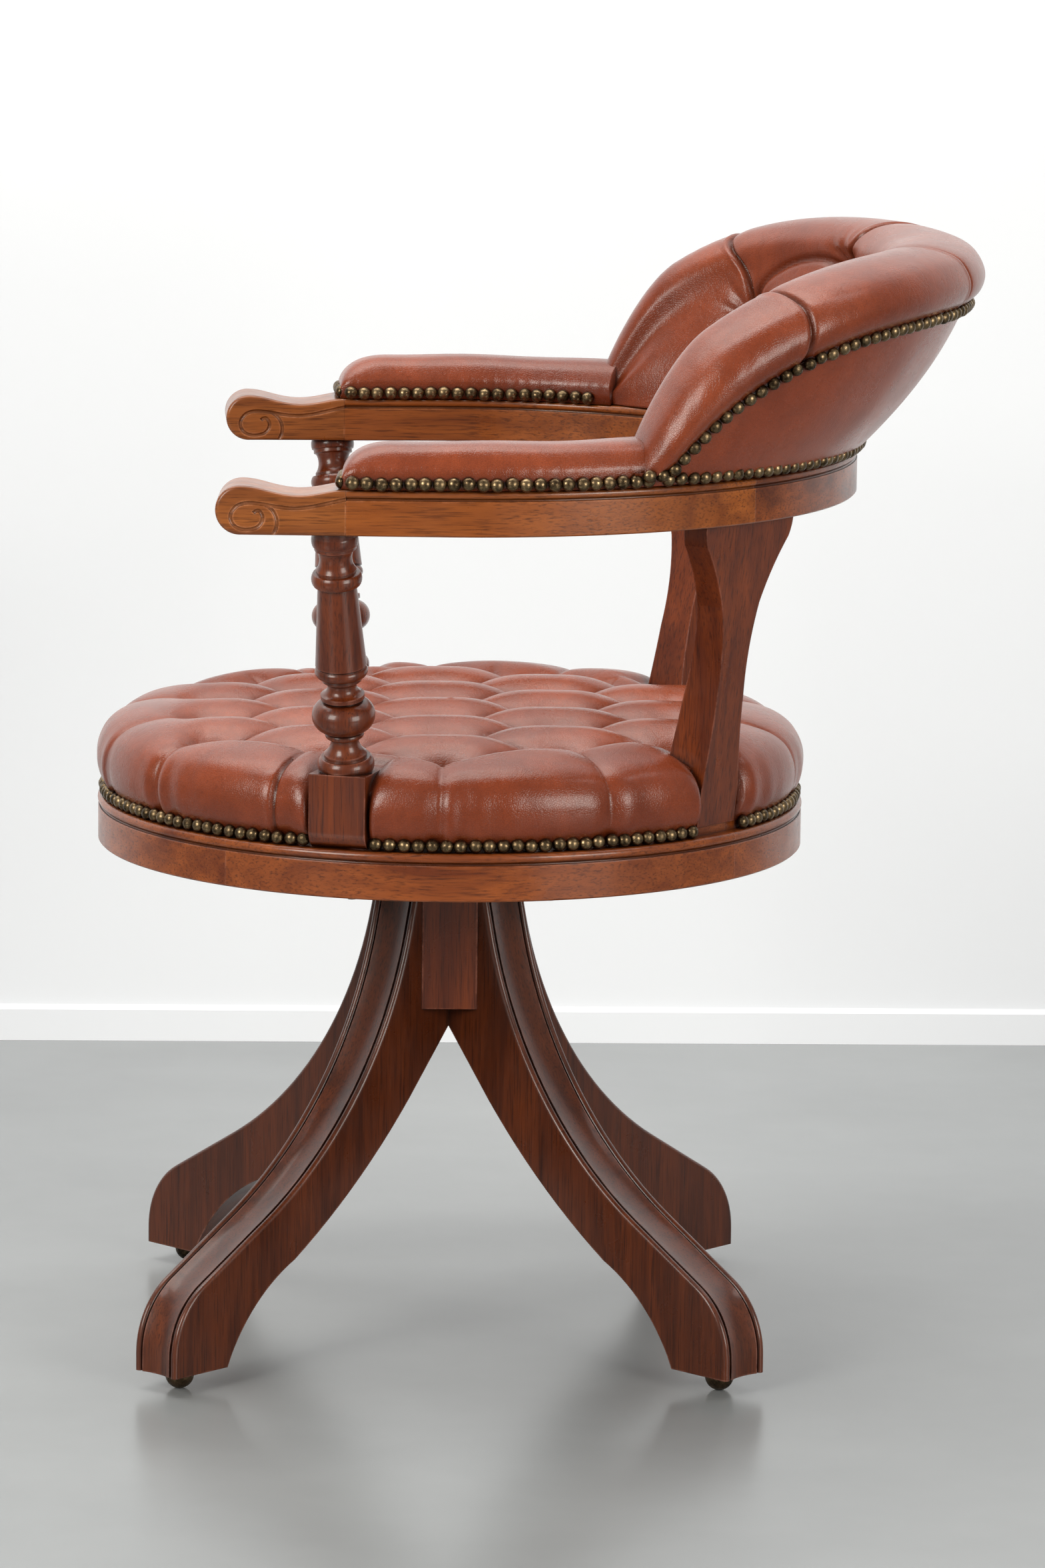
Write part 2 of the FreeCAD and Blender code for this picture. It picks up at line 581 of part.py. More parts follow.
def make_arms(tenons):
    """Hands, side pieces and the back piece of the arm rail."""
    section = arm_section()
    hand = make_hand().cut(tenons)
    save("arm_hand_left", hand)
    save("arm_hand_right", mirrored(hand))
    straight = tapered(section.extrude(V(0, ARM_JOINT_Y - 20.0, 0)))
    side = straight.fuse(revolved(section, -ARM_TAPER, ARM_JOINT_ANGLE + ARM_TAPER)).removeSplitter()
    ahead = along_arm(Part.makeBox(200, 200, 100, V(180, -200 + ARM_JOINT_Y, ARM_BOTTOM - 30)))
    side = side.cut(ahead).cut(tenons)
    save("arm_side_left", side)
    save("arm_side_right", mirrored(side))
    save("arm_back", revolved(section, ARM_JOINT_ANGLE, 180 - 2 * ARM_JOINT_ANGLE))


def make_arm_pads(clear_of_roll):
    """The padded tops of the arms, rounded over at the front."""
    half = ARM_WIDTH / 2 - 2.4
    low = ARM_TOP + 0.2
    inside = ARM_RADIUS - half
    outside = ARM_RADIUS + half
    section = face((inside, low), (outside, low), (outside, low + 8.0),
                   ((ARM_RADIUS + half * 0.75, PAD_TOP - 6.0), (ARM_RADIUS, PAD_TOP)),
                   ((ARM_RADIUS - half * 0.75, PAD_TOP - 6.0), (inside, low + 8.0)))
    straight = tapered(section.extrude(V(0, PAD_FRONT_Y, 0)))
    pad = straight.fuse(revolved(section, -ARM_TAPER, PAD_BACK_ANGLE + ARM_TAPER)).removeSplitter()
    nose = face((PAD_FRONT_Y + 3.0, low), (0, low), (0, PAD_TOP + 5), (-40.0, PAD_TOP + 5), (-45.0, PAD_TOP),
                ((-75.0, PAD_TOP - 8.0), (PAD_FRONT_Y + 1.0, low + 10.0)))
    keep = turned(slab(nose, 100), 90)
    keep = moved(keep, ARM_RADIUS, 0, 0).fuse(box(400, 400, low, PAD_TOP + 5, ARM_RADIUS, 200))
    pad = pad.common(keep).cut(clear_of_roll)
    save("arm_pad_left", largest(pad))
    save("arm_pad_right", mirrored(largest(pad)))


# ---- back ---------------------------------------------------------------------------------------
def barrel(low_radius, high_radius):
    """A leaning barrel: round the swivel axis at the arm rail, and set back at the top."""
    low = Part.Wire(Part.Circle(V(0, 0, BACK_LOW + 0.2), UP, low_radius).toShape())
    high = Part.Wire(Part.Circle(V(0, BACK_SHIFT, BACK_HIGH), UP, high_radius).toShape())
    return Part.makeLoft([low, high], True)


def roll_height(degrees):
    """The height of the middle of the roll, by its angle from the back of the chair."""
    return ROLL_PEAK - ROLL_DROP * (abs(degrees) / ROLL_SPAN) ** ROLL_POWER


def roll_point(degrees, lift=0.0):
    """A point along the middle of the roll, which is an ellipse in plan."""
    a = math.radians(degrees)
    return V(ROLL_SIDE_RADIUS * math.sin(a), BACK_SHIFT + ROLL_BACK_RADIUS * math.cos(a),
             roll_height(degrees) + lift)


def roll_outward(degrees):
    """The level direction out of the back at a point of the roll."""
    a = math.radians(degrees)
    return V(math.sin(a) / ROLL_SIDE_RADIUS, math.cos(a) / ROLL_BACK_RADIUS, 0).normalize()


def roll_tube(radius, span=ROLL_SPAN):
    """The roll along the top of the back."""
    count = 24
    points = [roll_point(span * (2 * k / count - 1)) for k in range(count + 1)]
    curve = Part.BSplineCurve()
    curve.interpolate(points)
    path = Part.Wire(curve.toShape())
    tangent = curve.tangent(curve.FirstParameter)[0]
    ring = Part.Wire(Part.Circle(points[0], tangent, radius).toShape())
    return path.makePipeShell([ring], True, False)


def below_line(lift):
    """Everything below the line of the roll, seen from the side."""
    points = []
    for k in range(21):
        spot = roll_point(ROLL_SPAN * (1 - k / 20), lift)
        points.append(V(0, spot.y, spot.z))
    curve = Part.BSplineCurve()
    curve.interpolate(points)
    first = points[0]
    last = points[-1]
    corners = [last, V(0, 450, last.z), V(0, 450, BACK_LOW), V(0, first.y, BACK_LOW), first]
    outline = Part.Wire([curve.toShape()] + Part.makePolygon(corners).Edges)
    return moved(Part.Face(outline).extrude(V(800, 0, 0)), -400, 0, 0)


def make_back():
    """The frame, the outer cover, the inner pad and the roll."""
    roll = roll_tube(ROLL_RADIUS).common(box(900, 900, BACK_LOW + 0.2, 900))
    clear_of_roll = roll_tube(ROLL_RADIUS + 0.3)
    room = below_line(-4.0)
    cover = barrel(294.0, 300.0).cut(barrel(292.0, 298.0))
    frame = barrel(291.8, 297.8).cut(barrel(279.0, 286.0))
    pad = barrel(278.6, 285.6).cut(barrel(246.0, 252.0))
    for name, layer in (("back_outer_cover", cover), ("back_frame", frame), ("back_pad", pad)):
        save(name, largest(layer.common(room).cut(clear_of_roll)))
    save("back_roll", roll)
    return clear_of_roll


def largest(shape):
    """The largest solid of a cut shape."""
    return max(shape.Solids, key=lambda solid: solid.Volume)


# ---- nails and buttons --------------------------------------------------------------------------
def nail(point, outward):
    """A domed nail head standing on the leather."""
    sunk = math.radians(20)
    radius = NAIL_RADIUS / math.cos(sunk)
    base = point - outward * (radius * math.sin(sunk))
    return Part.makeSphere(radius, base, outward, 20, 90, 360)


def make_seat_nails():
    """Nails round the seat, left out where the uprights stand."""
    radius = TACK_RADIUS + 2.1
    count = int(2 * math.pi * radius / NAIL_PITCH)
    gaps = [(-BLOCK_ANGLE, BLOCK_SIDE / 2 + 4.0), (180 + BLOCK_ANGLE, BLOCK_SIDE / 2 + 4.0),
            (90 - POST_ANGLE, 27.0), (90 + POST_ANGLE, 27.0)]
    nails = []
    for k in range(count):
        angle = 360.0 * k / count
        spare = [abs((angle - middle + 180) % 360 - 180) > math.degrees(half / radius) for middle, half in gaps]
        if all(spare):
            nails.append(nail(polar(radius, angle, RAIL_BEAD_TOP + 4.8), polar(1, angle)))
    save("seat_nails", *nails)


def barrel_point(low_radius, high_radius, degrees, z):
    """A point on a barrel by its angle from +X and its height, and the outward direction there."""
    rise = (z - BACK_LOW) / (BACK_HIGH - BACK_LOW)
    spot = polar(low_radius + (high_radius - low_radius) * rise, degrees, z) + V(0, BACK_SHIFT * rise, 0)
    slope = (BACK_SHIFT * math.sin(math.radians(degrees)) + high_radius - low_radius) / (BACK_HIGH - BACK_LOW)
    return spot, (polar(1, degrees) - UP * slope).normalize()


def clear_of_roll_end(point):
    """Whether a nail at this point stands clear of the roll."""
    nearest = min((roll_point(degrees) - point).Length for degrees in range(50, int(ROLL_SPAN) + 1))
    return nearest > ROLL_RADIUS + NAIL_RADIUS + 1.0


def make_arm_nails():
    """One row round the outside of the arms and back, one inside each arm, and one at each front."""
    z = ARM_TOP + 5.0
    half = ARM_WIDTH / 2 - 2.0
    nails = []
    for outward in (1, -1):
        radius = ARM_RADIUS + outward * half
        step = math.degrees(NAIL_PITCH / radius)
        angle = -ARM_TAPER
        while angle < PAD_BACK_ANGLE - 2.0:
            nails.append(nail(polar(radius, angle, z), polar(outward, angle)))
            angle += step
        while outward > 0 and angle < 89.0:
            spot, direction = barrel_point(294.6, 300.6, angle, z)
            if clear_of_roll_end(spot):
                nails.append(nail(spot, direction))
            angle += step
        round_start = -ARM_RADIUS * math.sin(math.radians(ARM_TAPER))
        for k in range(1, int((round_start - PAD_FRONT_Y) / NAIL_PITCH) + 1):
            straight = nail(V(radius, -k * NAIL_PITCH, z), V(outward, 0, 0))
            nails.append(tapered(straight))
    for k in (-1, 0, 1):
        front = nail(V(ARM_RADIUS + 13.0 * k, PAD_FRONT_Y - 0.4, z), V(0, -1, 0))
        nails.append(along_arm(front))
    save("arm_nails", *nails, *[mirrored(one) for one in nails])


def make_roll_nails():
    """The row low on the outside of the roll."""
    slope = math.radians(50)
    span = 74.0
    count = 65
    nails = []
    for k in range(count + 1):
        degrees = span * (2 * k / count - 1)
        along = (roll_point(degrees + 0.2) - roll_point(degrees - 0.2)).normalize()
        side = roll_outward(degrees)
        side = (side - along * side.dot(along)).normalize()
        down = along.cross(side)
        outward = side * math.cos(slope) + down * math.sin(slope) * (1 if down.z < 0 else -1)
        nails.append(nail(roll_point(degrees) + outward * (ROLL_RADIUS + 0.6), outward))
    save("roll_nails", *nails)


def make_back_buttons():
    """Two buttons high on the roll's inner side, and two lower on the inner pad."""
    buttons = []
    for degrees in (-22.0, 22.0):
        inward = roll_outward(degrees) * -1
        buttons.append(button(roll_point(degrees, -3.0) + inward * (ROLL_RADIUS + 0.2), inward))
    rise = (BACK_BUTTON_Z - BACK_LOW) / (BACK_HIGH - BACK_LOW)
    for degrees in (-48.0, 48.0):
        a = math.radians(degrees)
        radius = 246.0 + 6.0 * rise
        spot = V(radius * math.sin(a), BACK_SHIFT * rise + radius * math.cos(a), BACK_BUTTON_Z)
        inward = V(-math.sin(a), -math.cos(a), 0.62).normalize()
        buttons.append(button(spot + inward * 4.5, inward))
    save("back_buttons", *buttons)


def button_places():
    """The diamond grid of seat buttons. The outer ones sit a little lower."""
    places = []
    for column, count in ((-2, 4), (-1, 5), (0, 6), (1, 5), (2, 4)):
        for k in range(count):
            x = (k - (count - 1) / 2) * BUTTON_PITCH_X
            y = BUTTON_SHIFT_Y + column * BUTTON_PITCH_Y
            drop = BUTTON_DROP * (x * x + y * y) / 205.0 ** 2
            places.append(V(x, y, BUTTON_Z - drop))
    return places


def button(point, outward):
    """A shallow covered button."""
    radius = BUTTON_RADIUS * 1.5
    sunk = math.degrees(math.acos(BUTTON_RADIUS / radius))
    base = point - outward * (radius * math.sin(math.radians(sunk)))
    return Part.makeSphere(radius, base, outward, sunk, 90, 360)


def main():
    make_base()
    make_turntable()
    pin = make_spindle()
    make_seat_mechanism(pin)

    block = make_front_block()
    baluster, tenons = make_baluster()
    both_tenons = tenons.fuse(mirrored(tenons))
    post = make_rear_post()
    block_bored = block.cut(tenons)
    for name, piece in (("front_block", block_bored), ("baluster", baluster), ("rear_post", post)):
        save(name + "_left", piece)
        save(name + "_right", mirrored(piece))
    uprights = Part.makeCompound([block, mirrored(block), post, mirrored(post)])
    make_rail(uprights)
    make_cushion()
    make_arms(tenons)
    clear_of_roll = make_back()
    make_arm_pads(clear_of_roll)
    make_seat_nails()
    make_arm_nails()
    make_roll_nails()
    make_back_buttons()


main()
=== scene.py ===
"""The looks of the captain's desk chair: leather, wood, brass and the studio round it.

Metres, +Z up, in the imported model's frame. The chair faces -Y. Leather pieces are built as grids of
points over smooth sections, with their tufts, pleats and creases as real shape.
"""
import math

import bmesh
import bpy
import numpy as np
from mathutils import Matrix, Vector


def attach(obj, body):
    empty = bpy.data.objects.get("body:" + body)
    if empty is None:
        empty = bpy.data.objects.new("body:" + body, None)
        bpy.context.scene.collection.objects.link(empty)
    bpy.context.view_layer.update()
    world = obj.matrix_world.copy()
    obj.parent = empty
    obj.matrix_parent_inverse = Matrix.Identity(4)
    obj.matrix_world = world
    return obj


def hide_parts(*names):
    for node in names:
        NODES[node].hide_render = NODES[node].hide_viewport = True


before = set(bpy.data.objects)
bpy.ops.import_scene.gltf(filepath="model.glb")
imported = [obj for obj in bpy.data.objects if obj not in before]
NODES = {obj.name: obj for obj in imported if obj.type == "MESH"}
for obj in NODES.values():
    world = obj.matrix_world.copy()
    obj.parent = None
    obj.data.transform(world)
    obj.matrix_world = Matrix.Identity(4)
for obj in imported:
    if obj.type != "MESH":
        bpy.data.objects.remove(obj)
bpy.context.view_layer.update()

MM = 0.001
rng = np.random.default_rng(7)


# ---- small tools --------------------------------------------------------------------------------
def smooth(t):
    """A smooth step from 0 to 1."""
    t = np.clip(t, 0.0, 1.0)
    return t * t * (3.0 - 2.0 * t)


def spline(points, count):
    """Points along a smooth curve through the given ones."""
    points = np.array(points, float)
    steps = np.linalg.norm(np.diff(points, axis=0), axis=1)
    knots = np.concatenate([[0.0], np.cumsum(np.sqrt(steps))])
    slopes = np.gradient(points, knots, axis=0)
    at = np.linspace(0.0, knots[-1], count)
    k = np.clip(np.searchsorted(knots, at, side="right") - 1, 0, len(knots) - 2)
    width = (knots[k + 1] - knots[k])[:, None]
    t = ((at - knots[k])[:, None]) / width
    low, high = points[k], points[k + 1]
    bend_low, bend_high = slopes[k] * width, slopes[k + 1] * width
    return ((2 * t ** 3 - 3 * t ** 2 + 1) * low + (t ** 3 - 2 * t ** 2 + t) * bend_low
            + (-2 * t ** 3 + 3 * t ** 2) * high + (t ** 3 - t ** 2) * bend_high)


def mesh_object(name, points, faces):
    """A smooth-shaded mesh, given in millimetres."""
    mesh = bpy.data.meshes.new(name)
    mesh.from_pydata([tuple(p) for p in np.asarray(points) * MM], [], faces)
    mesh.polygons.foreach_set("use_smooth", [True] * len(mesh.polygons))
    mesh.update()
    piece = bpy.data.objects.new(name, mesh)
    bpy.context.scene.collection.objects.link(piece)
    return piece


def tube_faces(rows, columns, start=0):
    """The faces of a capped tube, whose points are rows of closed loops and then the centres of its ends."""
    faces = []
    for i in range(rows - 1):
        for j in range(columns):
            a, b = start + i * columns + j, start + i * columns + (j + 1) % columns
            faces.append((a, b, b + columns, a + columns))
    last_row, first_centre = start + (rows - 1) * columns, start + rows * columns
    for j in range(columns):
        k = (j + 1) % columns
        faces.append((start + k, start + j, first_centre))
        faces.append((last_row + j, last_row + k, first_centre + 1))
    return faces


def loft(name, grid):
    """A closed solid from sections that are closed loops, capped at both ends."""
    rows, columns, _ = grid.shape
    points = np.vstack([grid.reshape(-1, 3), grid[0].mean(0), grid[-1].mean(0)])
    return outwards(mesh_object(name, points, tube_faces(rows, columns)))


def outwards(piece):
    """Turns the faces outwards."""
    work = bmesh.new()
    work.from_mesh(piece.data)
    bmesh.ops.recalc_face_normals(work, faces=work.faces)
    work.to_mesh(piece.data)
    work.free()
    return piece


def normals(grid):
    """Unit normals of a grid of points whose rows are closed loops."""
    down = np.gradient(grid, axis=0)
    across = (np.roll(grid, -1, axis=1) - np.roll(grid, 1, axis=1)) / 2
    out = np.cross(down, across)
    return out / np.maximum(np.linalg.norm(out, axis=2, keepdims=True), 1e-9)


# ---- materials ----------------------------------------------------------------------------------
class Nodes:
    """A short way to write a shader tree."""

    def __init__(self, name):
        self.material = bpy.data.materials.new(name)
        self.material.use_nodes = True
        self.tree = self.material.node_tree
        self.shader = self.tree.nodes["Principled BSDF"]
        self.coords = self.add("ShaderNodeTexCoord").outputs["Object"]

    def add(self, kind, **settings):
        node = self.tree.nodes.new(kind)
        for key, value in settings.items():
            setattr(node, key, value)
        return node

    def link(self, source, target):
        self.tree.links.new(source, target)

    def put(self, node, **values):
        """Sets or links a node's inputs by their names, with _ for a space."""
        for key, value in values.items():
            socket = node.inputs[key.replace("_", " ")]
            if isinstance(value, bpy.types.NodeSocket):
                self.link(value, socket)
            else:
                socket.default_value = value
        return node

    def mapping(self, scale, rotation):
        node = self.put(self.add("ShaderNodeMapping"), Vector=self.coords, Scale=scale, Rotation=rotation)
        return node.outputs[0]

    def noise(self, scale, detail=4.0, roughness=0.55, vector=None, distortion=0.0):
        node = self.add("ShaderNodeTexNoise")
        self.put(node, Vector=vector or self.coords, Scale=scale, Detail=detail, Roughness=roughness,
                 Distortion=distortion)
        return node.outputs[0]

    def cells(self, scale, vector):
        """How far each point is from the edge of its cell."""
        node = self.add("ShaderNodeTexVoronoi", feature="DISTANCE_TO_EDGE")
        self.put(node, Vector=vector, Scale=scale)
        return node.outputs["Distance"]

    def ramp(self, value, *stops):
        """The value's level between two stops, each a position and its level."""
        node = self.add("ShaderNodeValToRGB")
        for element, (position, level) in zip(node.color_ramp.elements, stops):
            element.position = position
            element.color = (level, level, level, 1)
        self.link(value, node.inputs[0])
        return node.outputs[0]

    def mix(self, factor, a, b):
        node = self.add("ShaderNodeMix", data_type="RGBA")
        for socket, value in zip((node.inputs[0], node.inputs[6], node.inputs[7]), (factor, a, b)):
            if isinstance(value, bpy.types.NodeSocket):
                self.link(value, socket)
            else:
                socket.default_value = (*value, 1) if isinstance(value, tuple) else value
        return node.outputs[2]

    def maths(self, operation, a, b, clamp=False):
        node = self.add("ShaderNodeMath", operation=operation, use_clamp=clamp)
        for socket, value in zip(node.inputs, (a, b)):
            if isinstance(value, bpy.types.NodeSocket):
                self.link(value, socket)
            else:
                socket.default_value = value
        return node.outputs[0]

    def bump(self, height, strength, distance, normal=None):
        node = self.put(self.add("ShaderNodeBump"), Height=height, Strength=strength, Distance=distance)
        if normal:
            self.link(normal, node.inputs["Normal"])
        return node.outputs[0]

    def rounded(self, radius):
        """The surface's normal as if its edges were rounded."""
        return self.put(self.add("ShaderNodeBevel", samples=4), Radius=radius).outputs[0]

    def painted_shade_mask(self, reach, deep, shallow):
        """A mask for painted shade: 1 in grooves and creases, 0 on open surfaces."""
        node = self.put(self.add("ShaderNodeAmbientOcclusion", samples=6), Distance=reach)
        return self.ramp(node.outputs["AO"], (deep, 0.85), (shallow, 0.0))

    def clear_behind(self):
        """Makes a stage surface clear when seen from behind, so that the object shows from every side."""
        clear, mixed = self.add("ShaderNodeBsdfTransparent"), self.add("ShaderNodeMixShader")
        self.link(self.add("ShaderNodeNewGeometry").outputs["Backfacing"], mixed.inputs[0])
        self.link(self.shader.outputs[0], mixed.inputs[1])
        self.link(clear.outputs[0], mixed.inputs[2])
        self.link(mixed.outputs[0], self.tree.nodes["Material Output"].inputs["Surface"])

    def edges(self, radius):
        """1 close to a sharp edge, 0 on open surfaces."""
        true_normal = self.add("ShaderNodeNewGeometry").outputs["Normal"]
        node = self.add("ShaderNodeVectorMath", operation="DOT_PRODUCT")
        self.link(self.rounded(radius), node.inputs[0])
        self.link(true_normal, node.inputs[1])
        return self.ramp(node.outputs["Value"], (0.80, 1.0), (0.985, 0.0))


# How far wear and rounding reach from an edge of the wood, in metres.
WORN_EDGE, ROUNDED_EDGE = 0.0022, 0.0010


def wood(name, dark, light, grain_axis, wear, tilt=(0, 0, 0), gloss=0.30):
    """Stained and varnished wood with its grain along one axis, figured across it, worn on its edges and with
    painted shade in its grooves.
    """
    n = Nodes(name)
    axis = "XYZ".index(grain_axis)
    fine, broad = [260.0] * 3, [26.0] * 3
    fine[axis], broad[axis] = 9.0, 2.2
    pores = n.noise(3.0, 3.0, 0.6, n.mapping(fine, tilt))
    figure = n.noise(1.6, 5.0, 0.6, n.mapping(broad, tilt), 1.2)
    blotches = n.noise(9.0, 3.0, 0.5)
    base = n.mix(n.ramp(figure, (0.30, 0.0), (0.72, 1.0)), dark, light)
    base = n.mix(n.ramp(blotches, (0.35, 0.0), (0.75, 0.35)), base, dark)
    streaks = n.ramp(pores, (0.32, 1.0), (0.50, 0.0))
    base = n.mix(n.maths("MULTIPLY", streaks, 0.75), base, tuple(c * 0.45 for c in dark))
    patches = n.ramp(n.noise(55.0, 5.0, 0.7), (0.42, 0.0), (0.62, 1.0))
    rubbed = n.maths("MULTIPLY", n.edges(WORN_EDGE), patches)
    rubbed = n.maths("MULTIPLY", rubbed, wear, clamp=True)
    pale = tuple(min(1.0, 1.9 * c + 0.10) for c in light)
    base = n.mix(rubbed, base, pale)
    # Painted shade: grooves, turnings and crevices are darkened in the colour.
    base = n.mix(n.painted_shade_mask(0.005, 0.45, 0.96), base, tuple(c * 0.15 for c in dark))
    n.put(n.shader, Base_Color=base, Coat_Weight=0.40, Coat_Roughness=0.14, Specular_IOR_Level=0.30)
    rough = n.ramp(n.noise(30.0, 4.0, 0.6), (0.30, gloss - 0.05), (0.75, gloss + 0.14))
    uneven = n.bump(n.noise(18.0, 2.0), 0.12, 0.001, n.rounded(ROUNDED_EDGE))
    n.put(n.shader, Roughness=rough, Normal=n.bump(pores, 0.22, 0.00025, uneven))
    return n.material


def leather(name, dark, light, creases=1.0):
    """Aniline leather: fine pebble, soft creases, painted shade that darkens its creases and hollows, glossy
    from use.
    """
    n = Nodes(name)
    warp = n.add("ShaderNodeVectorMath", operation="ADD")
    n.link(n.coords, warp.inputs[0])
    jitter = n.add("ShaderNodeTexNoise")
    n.put(jitter, Vector=n.coords, Scale=160.0, Detail=2.0)
    small = n.add("ShaderNodeVectorMath", operation="SCALE")
    n.link(jitter.outputs["Color"], small.inputs[0])
    small.inputs["Scale"].default_value = 0.0012
    n.link(small.outputs[0], warp.inputs[1])
    pebble = n.cells(620.0, warp.outputs[0])
    folds = n.cells(95.0, n.mapping((1.0, 1.0, 0.45), (0.5, 0.3, 0.8)))
    clouds = n.noise(7.0, 5.0, 0.6)
    flecks = n.noise(48.0, 5.0, 0.7)
    base = n.mix(n.ramp(clouds, (0.30, 0.0), (0.70, 1.0)), dark, light)
    base = n.mix(n.ramp(flecks, (0.38, 0.30), (0.62, 0.0)), base, tuple(0.45 * c for c in dark))
    pores = n.ramp(pebble, (0.0, 0.45), (0.10, 0.0))
    base = n.mix(pores, base, tuple(0.5 * c for c in dark))
    # Painted shade: the creases, pleats and tucks are darkened in the colour.
    base = n.mix(n.painted_shade_mask(0.034, 0.28, 0.93), base, tuple(0.12 * c for c in dark))
    rough = n.ramp(n.noise(22.0, 4.0, 0.6), (0.30, 0.22), (0.72, 0.34))
    wrinkle = n.noise(65.0, 3.0, 0.6, n.mapping((1.0, 0.35, 1.0), (0.2, 0.1, 0.5)), 0.8)
    normal = n.bump(wrinkle, 0.16 * creases, 0.0010)
    normal = n.bump(n.ramp(folds, (0.0, 0.0), (0.10, 1.0)), 0.10 * creases, 0.0006, normal)
    normal = n.bump(n.ramp(pebble, (0.0, 0.0), (0.22, 1.0)), 0.30, 0.00022, normal)
    n.put(n.shader, Base_Color=base, Roughness=rough, Normal=normal, Coat_Weight=0.24, Coat_Roughness=0.20,
          Specular_IOR_Level=0.36)
    return n.material


def metal(name, dark, bright, roughness, polish_scale, metallic=1.0):
    """Metal with a mottled patina and fine handling marks."""
    n = Nodes(name)
    patina = n.noise(polish_scale, 4.0, 0.65)
    broad = n.noise(polish_scale / 7.0, 3.0, 0.5)
    both = n.maths("MULTIPLY", n.maths("ADD", patina, broad), 0.5)
    n.put(n.shader, Base_Color=n.mix(n.ramp(both, (0.40, 0.0), (0.60, 1.0)), dark, bright), Metallic=metallic,
          Roughness=n.ramp(patina, (0.35, roughness + 0.16), (0.65, roughness - 0.06)),
          Normal=n.bump(patina, 0.25, 0.0002))
    return n.material


def plain(name, colour, roughness, scale, strength):
    """Nylon, foam and other plain stuff: a slight mottle and grain."""
    n = Nodes(name)
    grain = n.noise(scale, 5.0, 0.7)
    darker = tuple(0.82 * c for c in colour)
    n.put(n.shader, Base_Color=n.mix(grain, darker, colour), Roughness=roughness,
          Normal=n.bump(grain, strength, 0.0004))
    return n.material


LEG_DARK, LEG_LIGHT = (0.042, 0.0080, 0.0020), (0.130, 0.027, 0.0055)
RAIL_DARK, RAIL_LIGHT = (0.135, 0.025, 0.0040), (0.340, 0.085, 0.0150)
QUARTER = math.radians(45)
WOODS = {
    "legs_left": wood("wood_legs_left", LEG_DARK, LEG_LIGHT, "Z", 0.95, (0.0, 0.45, QUARTER)),
    "legs_right": wood("wood_legs_right", LEG_DARK, LEG_LIGHT, "Z", 0.95, (0.0, 0.45, -QUARTER)),
    "upright": wood("wood_uprights", (0.070, 0.0110, 0.0025), (0.215, 0.042, 0.0070), "Z", 0.6),
    "rail_across": wood("wood_rail_across", RAIL_DARK, RAIL_LIGHT, "X", 0.3),
    "rail_along": wood("wood_rail_along", RAIL_DARK, RAIL_LIGHT, "Y", 0.3),
    "arms": wood("wood_arms", (0.160, 0.036, 0.0055), (0.390, 0.108, 0.0170), "Y", 0.35),
    "arm_back": wood("wood_arm_back", (0.085, 0.016, 0.0030), (0.320, 0.076, 0.0125), "X", 0.3),
    "hands": wood("wood_hands", (0.150, 0.037, 0.0070), (0.370, 0.115, 0.0230), "Y", 0.95),
    "plain": wood("wood_plain", (0.30, 0.18, 0.09), (0.50, 0.34, 0.19), "X", 0.0, gloss=0.55),
}
HIDE = leather("leather_red_brown", (0.170, 0.0275, 0.0070), (0.300, 0.058, 0.0160))
HIDE_SMOOTH = leather("leather_smooth", (0.220, 0.037, 0.0100), (0.320, 0.062, 0.0190), 0.5)
BRASS = metal("brass_antique", (0.040, 0.026, 0.014), (0.25, 0.175, 0.095), 0.30, 420.0)
BRONZE = metal("bronze_dark", (0.030, 0.021, 0.014), (0.16, 0.105, 0.060), 0.36, 260.0)
STEEL = metal("steel_plain", (0.30, 0.30, 0.31), (0.55, 0.55, 0.56), 0.30, 300.0)
ENAMEL = metal("enamel_black", (0.012, 0.012, 0.013), (0.028, 0.028, 0.030), 0.38, 90.0, 0.0)
NYLON = plain("nylon_white", (0.72, 0.70, 0.64), 0.5, 180.0, 0.15)
FOAM = plain("foam_cream", (0.78, 0.70, 0.50), 0.95, 400.0, 0.8)

FINISHES = {
    "leg_front_left": WOODS["legs_left"], "leg_back_right": WOODS["legs_left"],
    "leg_front_right": WOODS["legs_right"], "leg_back_left": WOODS["legs_right"],
    "corner_blocks": WOODS["upright"], "front_block_left": WOODS["upright"],
    "front_block_right": WOODS["upright"], "baluster_left": WOODS["upright"],
    "baluster_right": WOODS["upright"], "rear_post_left": WOODS["upright"],
    "rear_post_right": WOODS["upright"],
    "seat_rail_front": WOODS["rail_across"], "seat_rail_back": WOODS["rail_across"],
    "seat_rail_left": WOODS["rail_along"], "seat_rail_right": WOODS["rail_along"],
    "arm_hand_left": WOODS["hands"], "arm_hand_right": WOODS["hands"],
    "arm_side_left": WOODS["arms"], "arm_side_right": WOODS["arms"], "arm_back": WOODS["arm_back"],
    "seat_block": WOODS["plain"], "seat_board": WOODS["plain"], "back_frame": WOODS["plain"],
    "castor_cups": BRONZE, "castor_ball_front_left": BRONZE, "castor_ball_back_left": BRONZE,
    "castor_ball_back_right": BRONZE, "castor_ball_front_right": BRONZE,
    "swivel_socket": ENAMEL, "turntable_collar": ENAMEL, "height_nut": ENAMEL, "spider": ENAMEL,
    "spindle": STEEL, "spindle_key": STEEL, "spindle_pin": STEEL, "socket_screws": STEEL,
    "mechanism_bolts": STEEL, "mechanism_nuts": STEEL, "thrust_washer": NYLON, "seat_foam": FOAM,
}


def finish_with(piece, material):
    """Gives a piece one material all over."""
    piece.data.materials.clear()
    piece.data.materials.append(material)


def dress_cad():
    """Every carried-over CAD node gets its material, in the slots that it has."""
    for name, material in FINISHES.items():
        for slot in NODES[name].material_slots:
            slot.material = material


def soft(piece, material, fill, slot, *nodes):
    """A padded leather piece on the seat that stands for one or more CAD nodes."""
    finish_with(piece, material)
    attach(piece, "seat")
    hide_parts(*nodes)


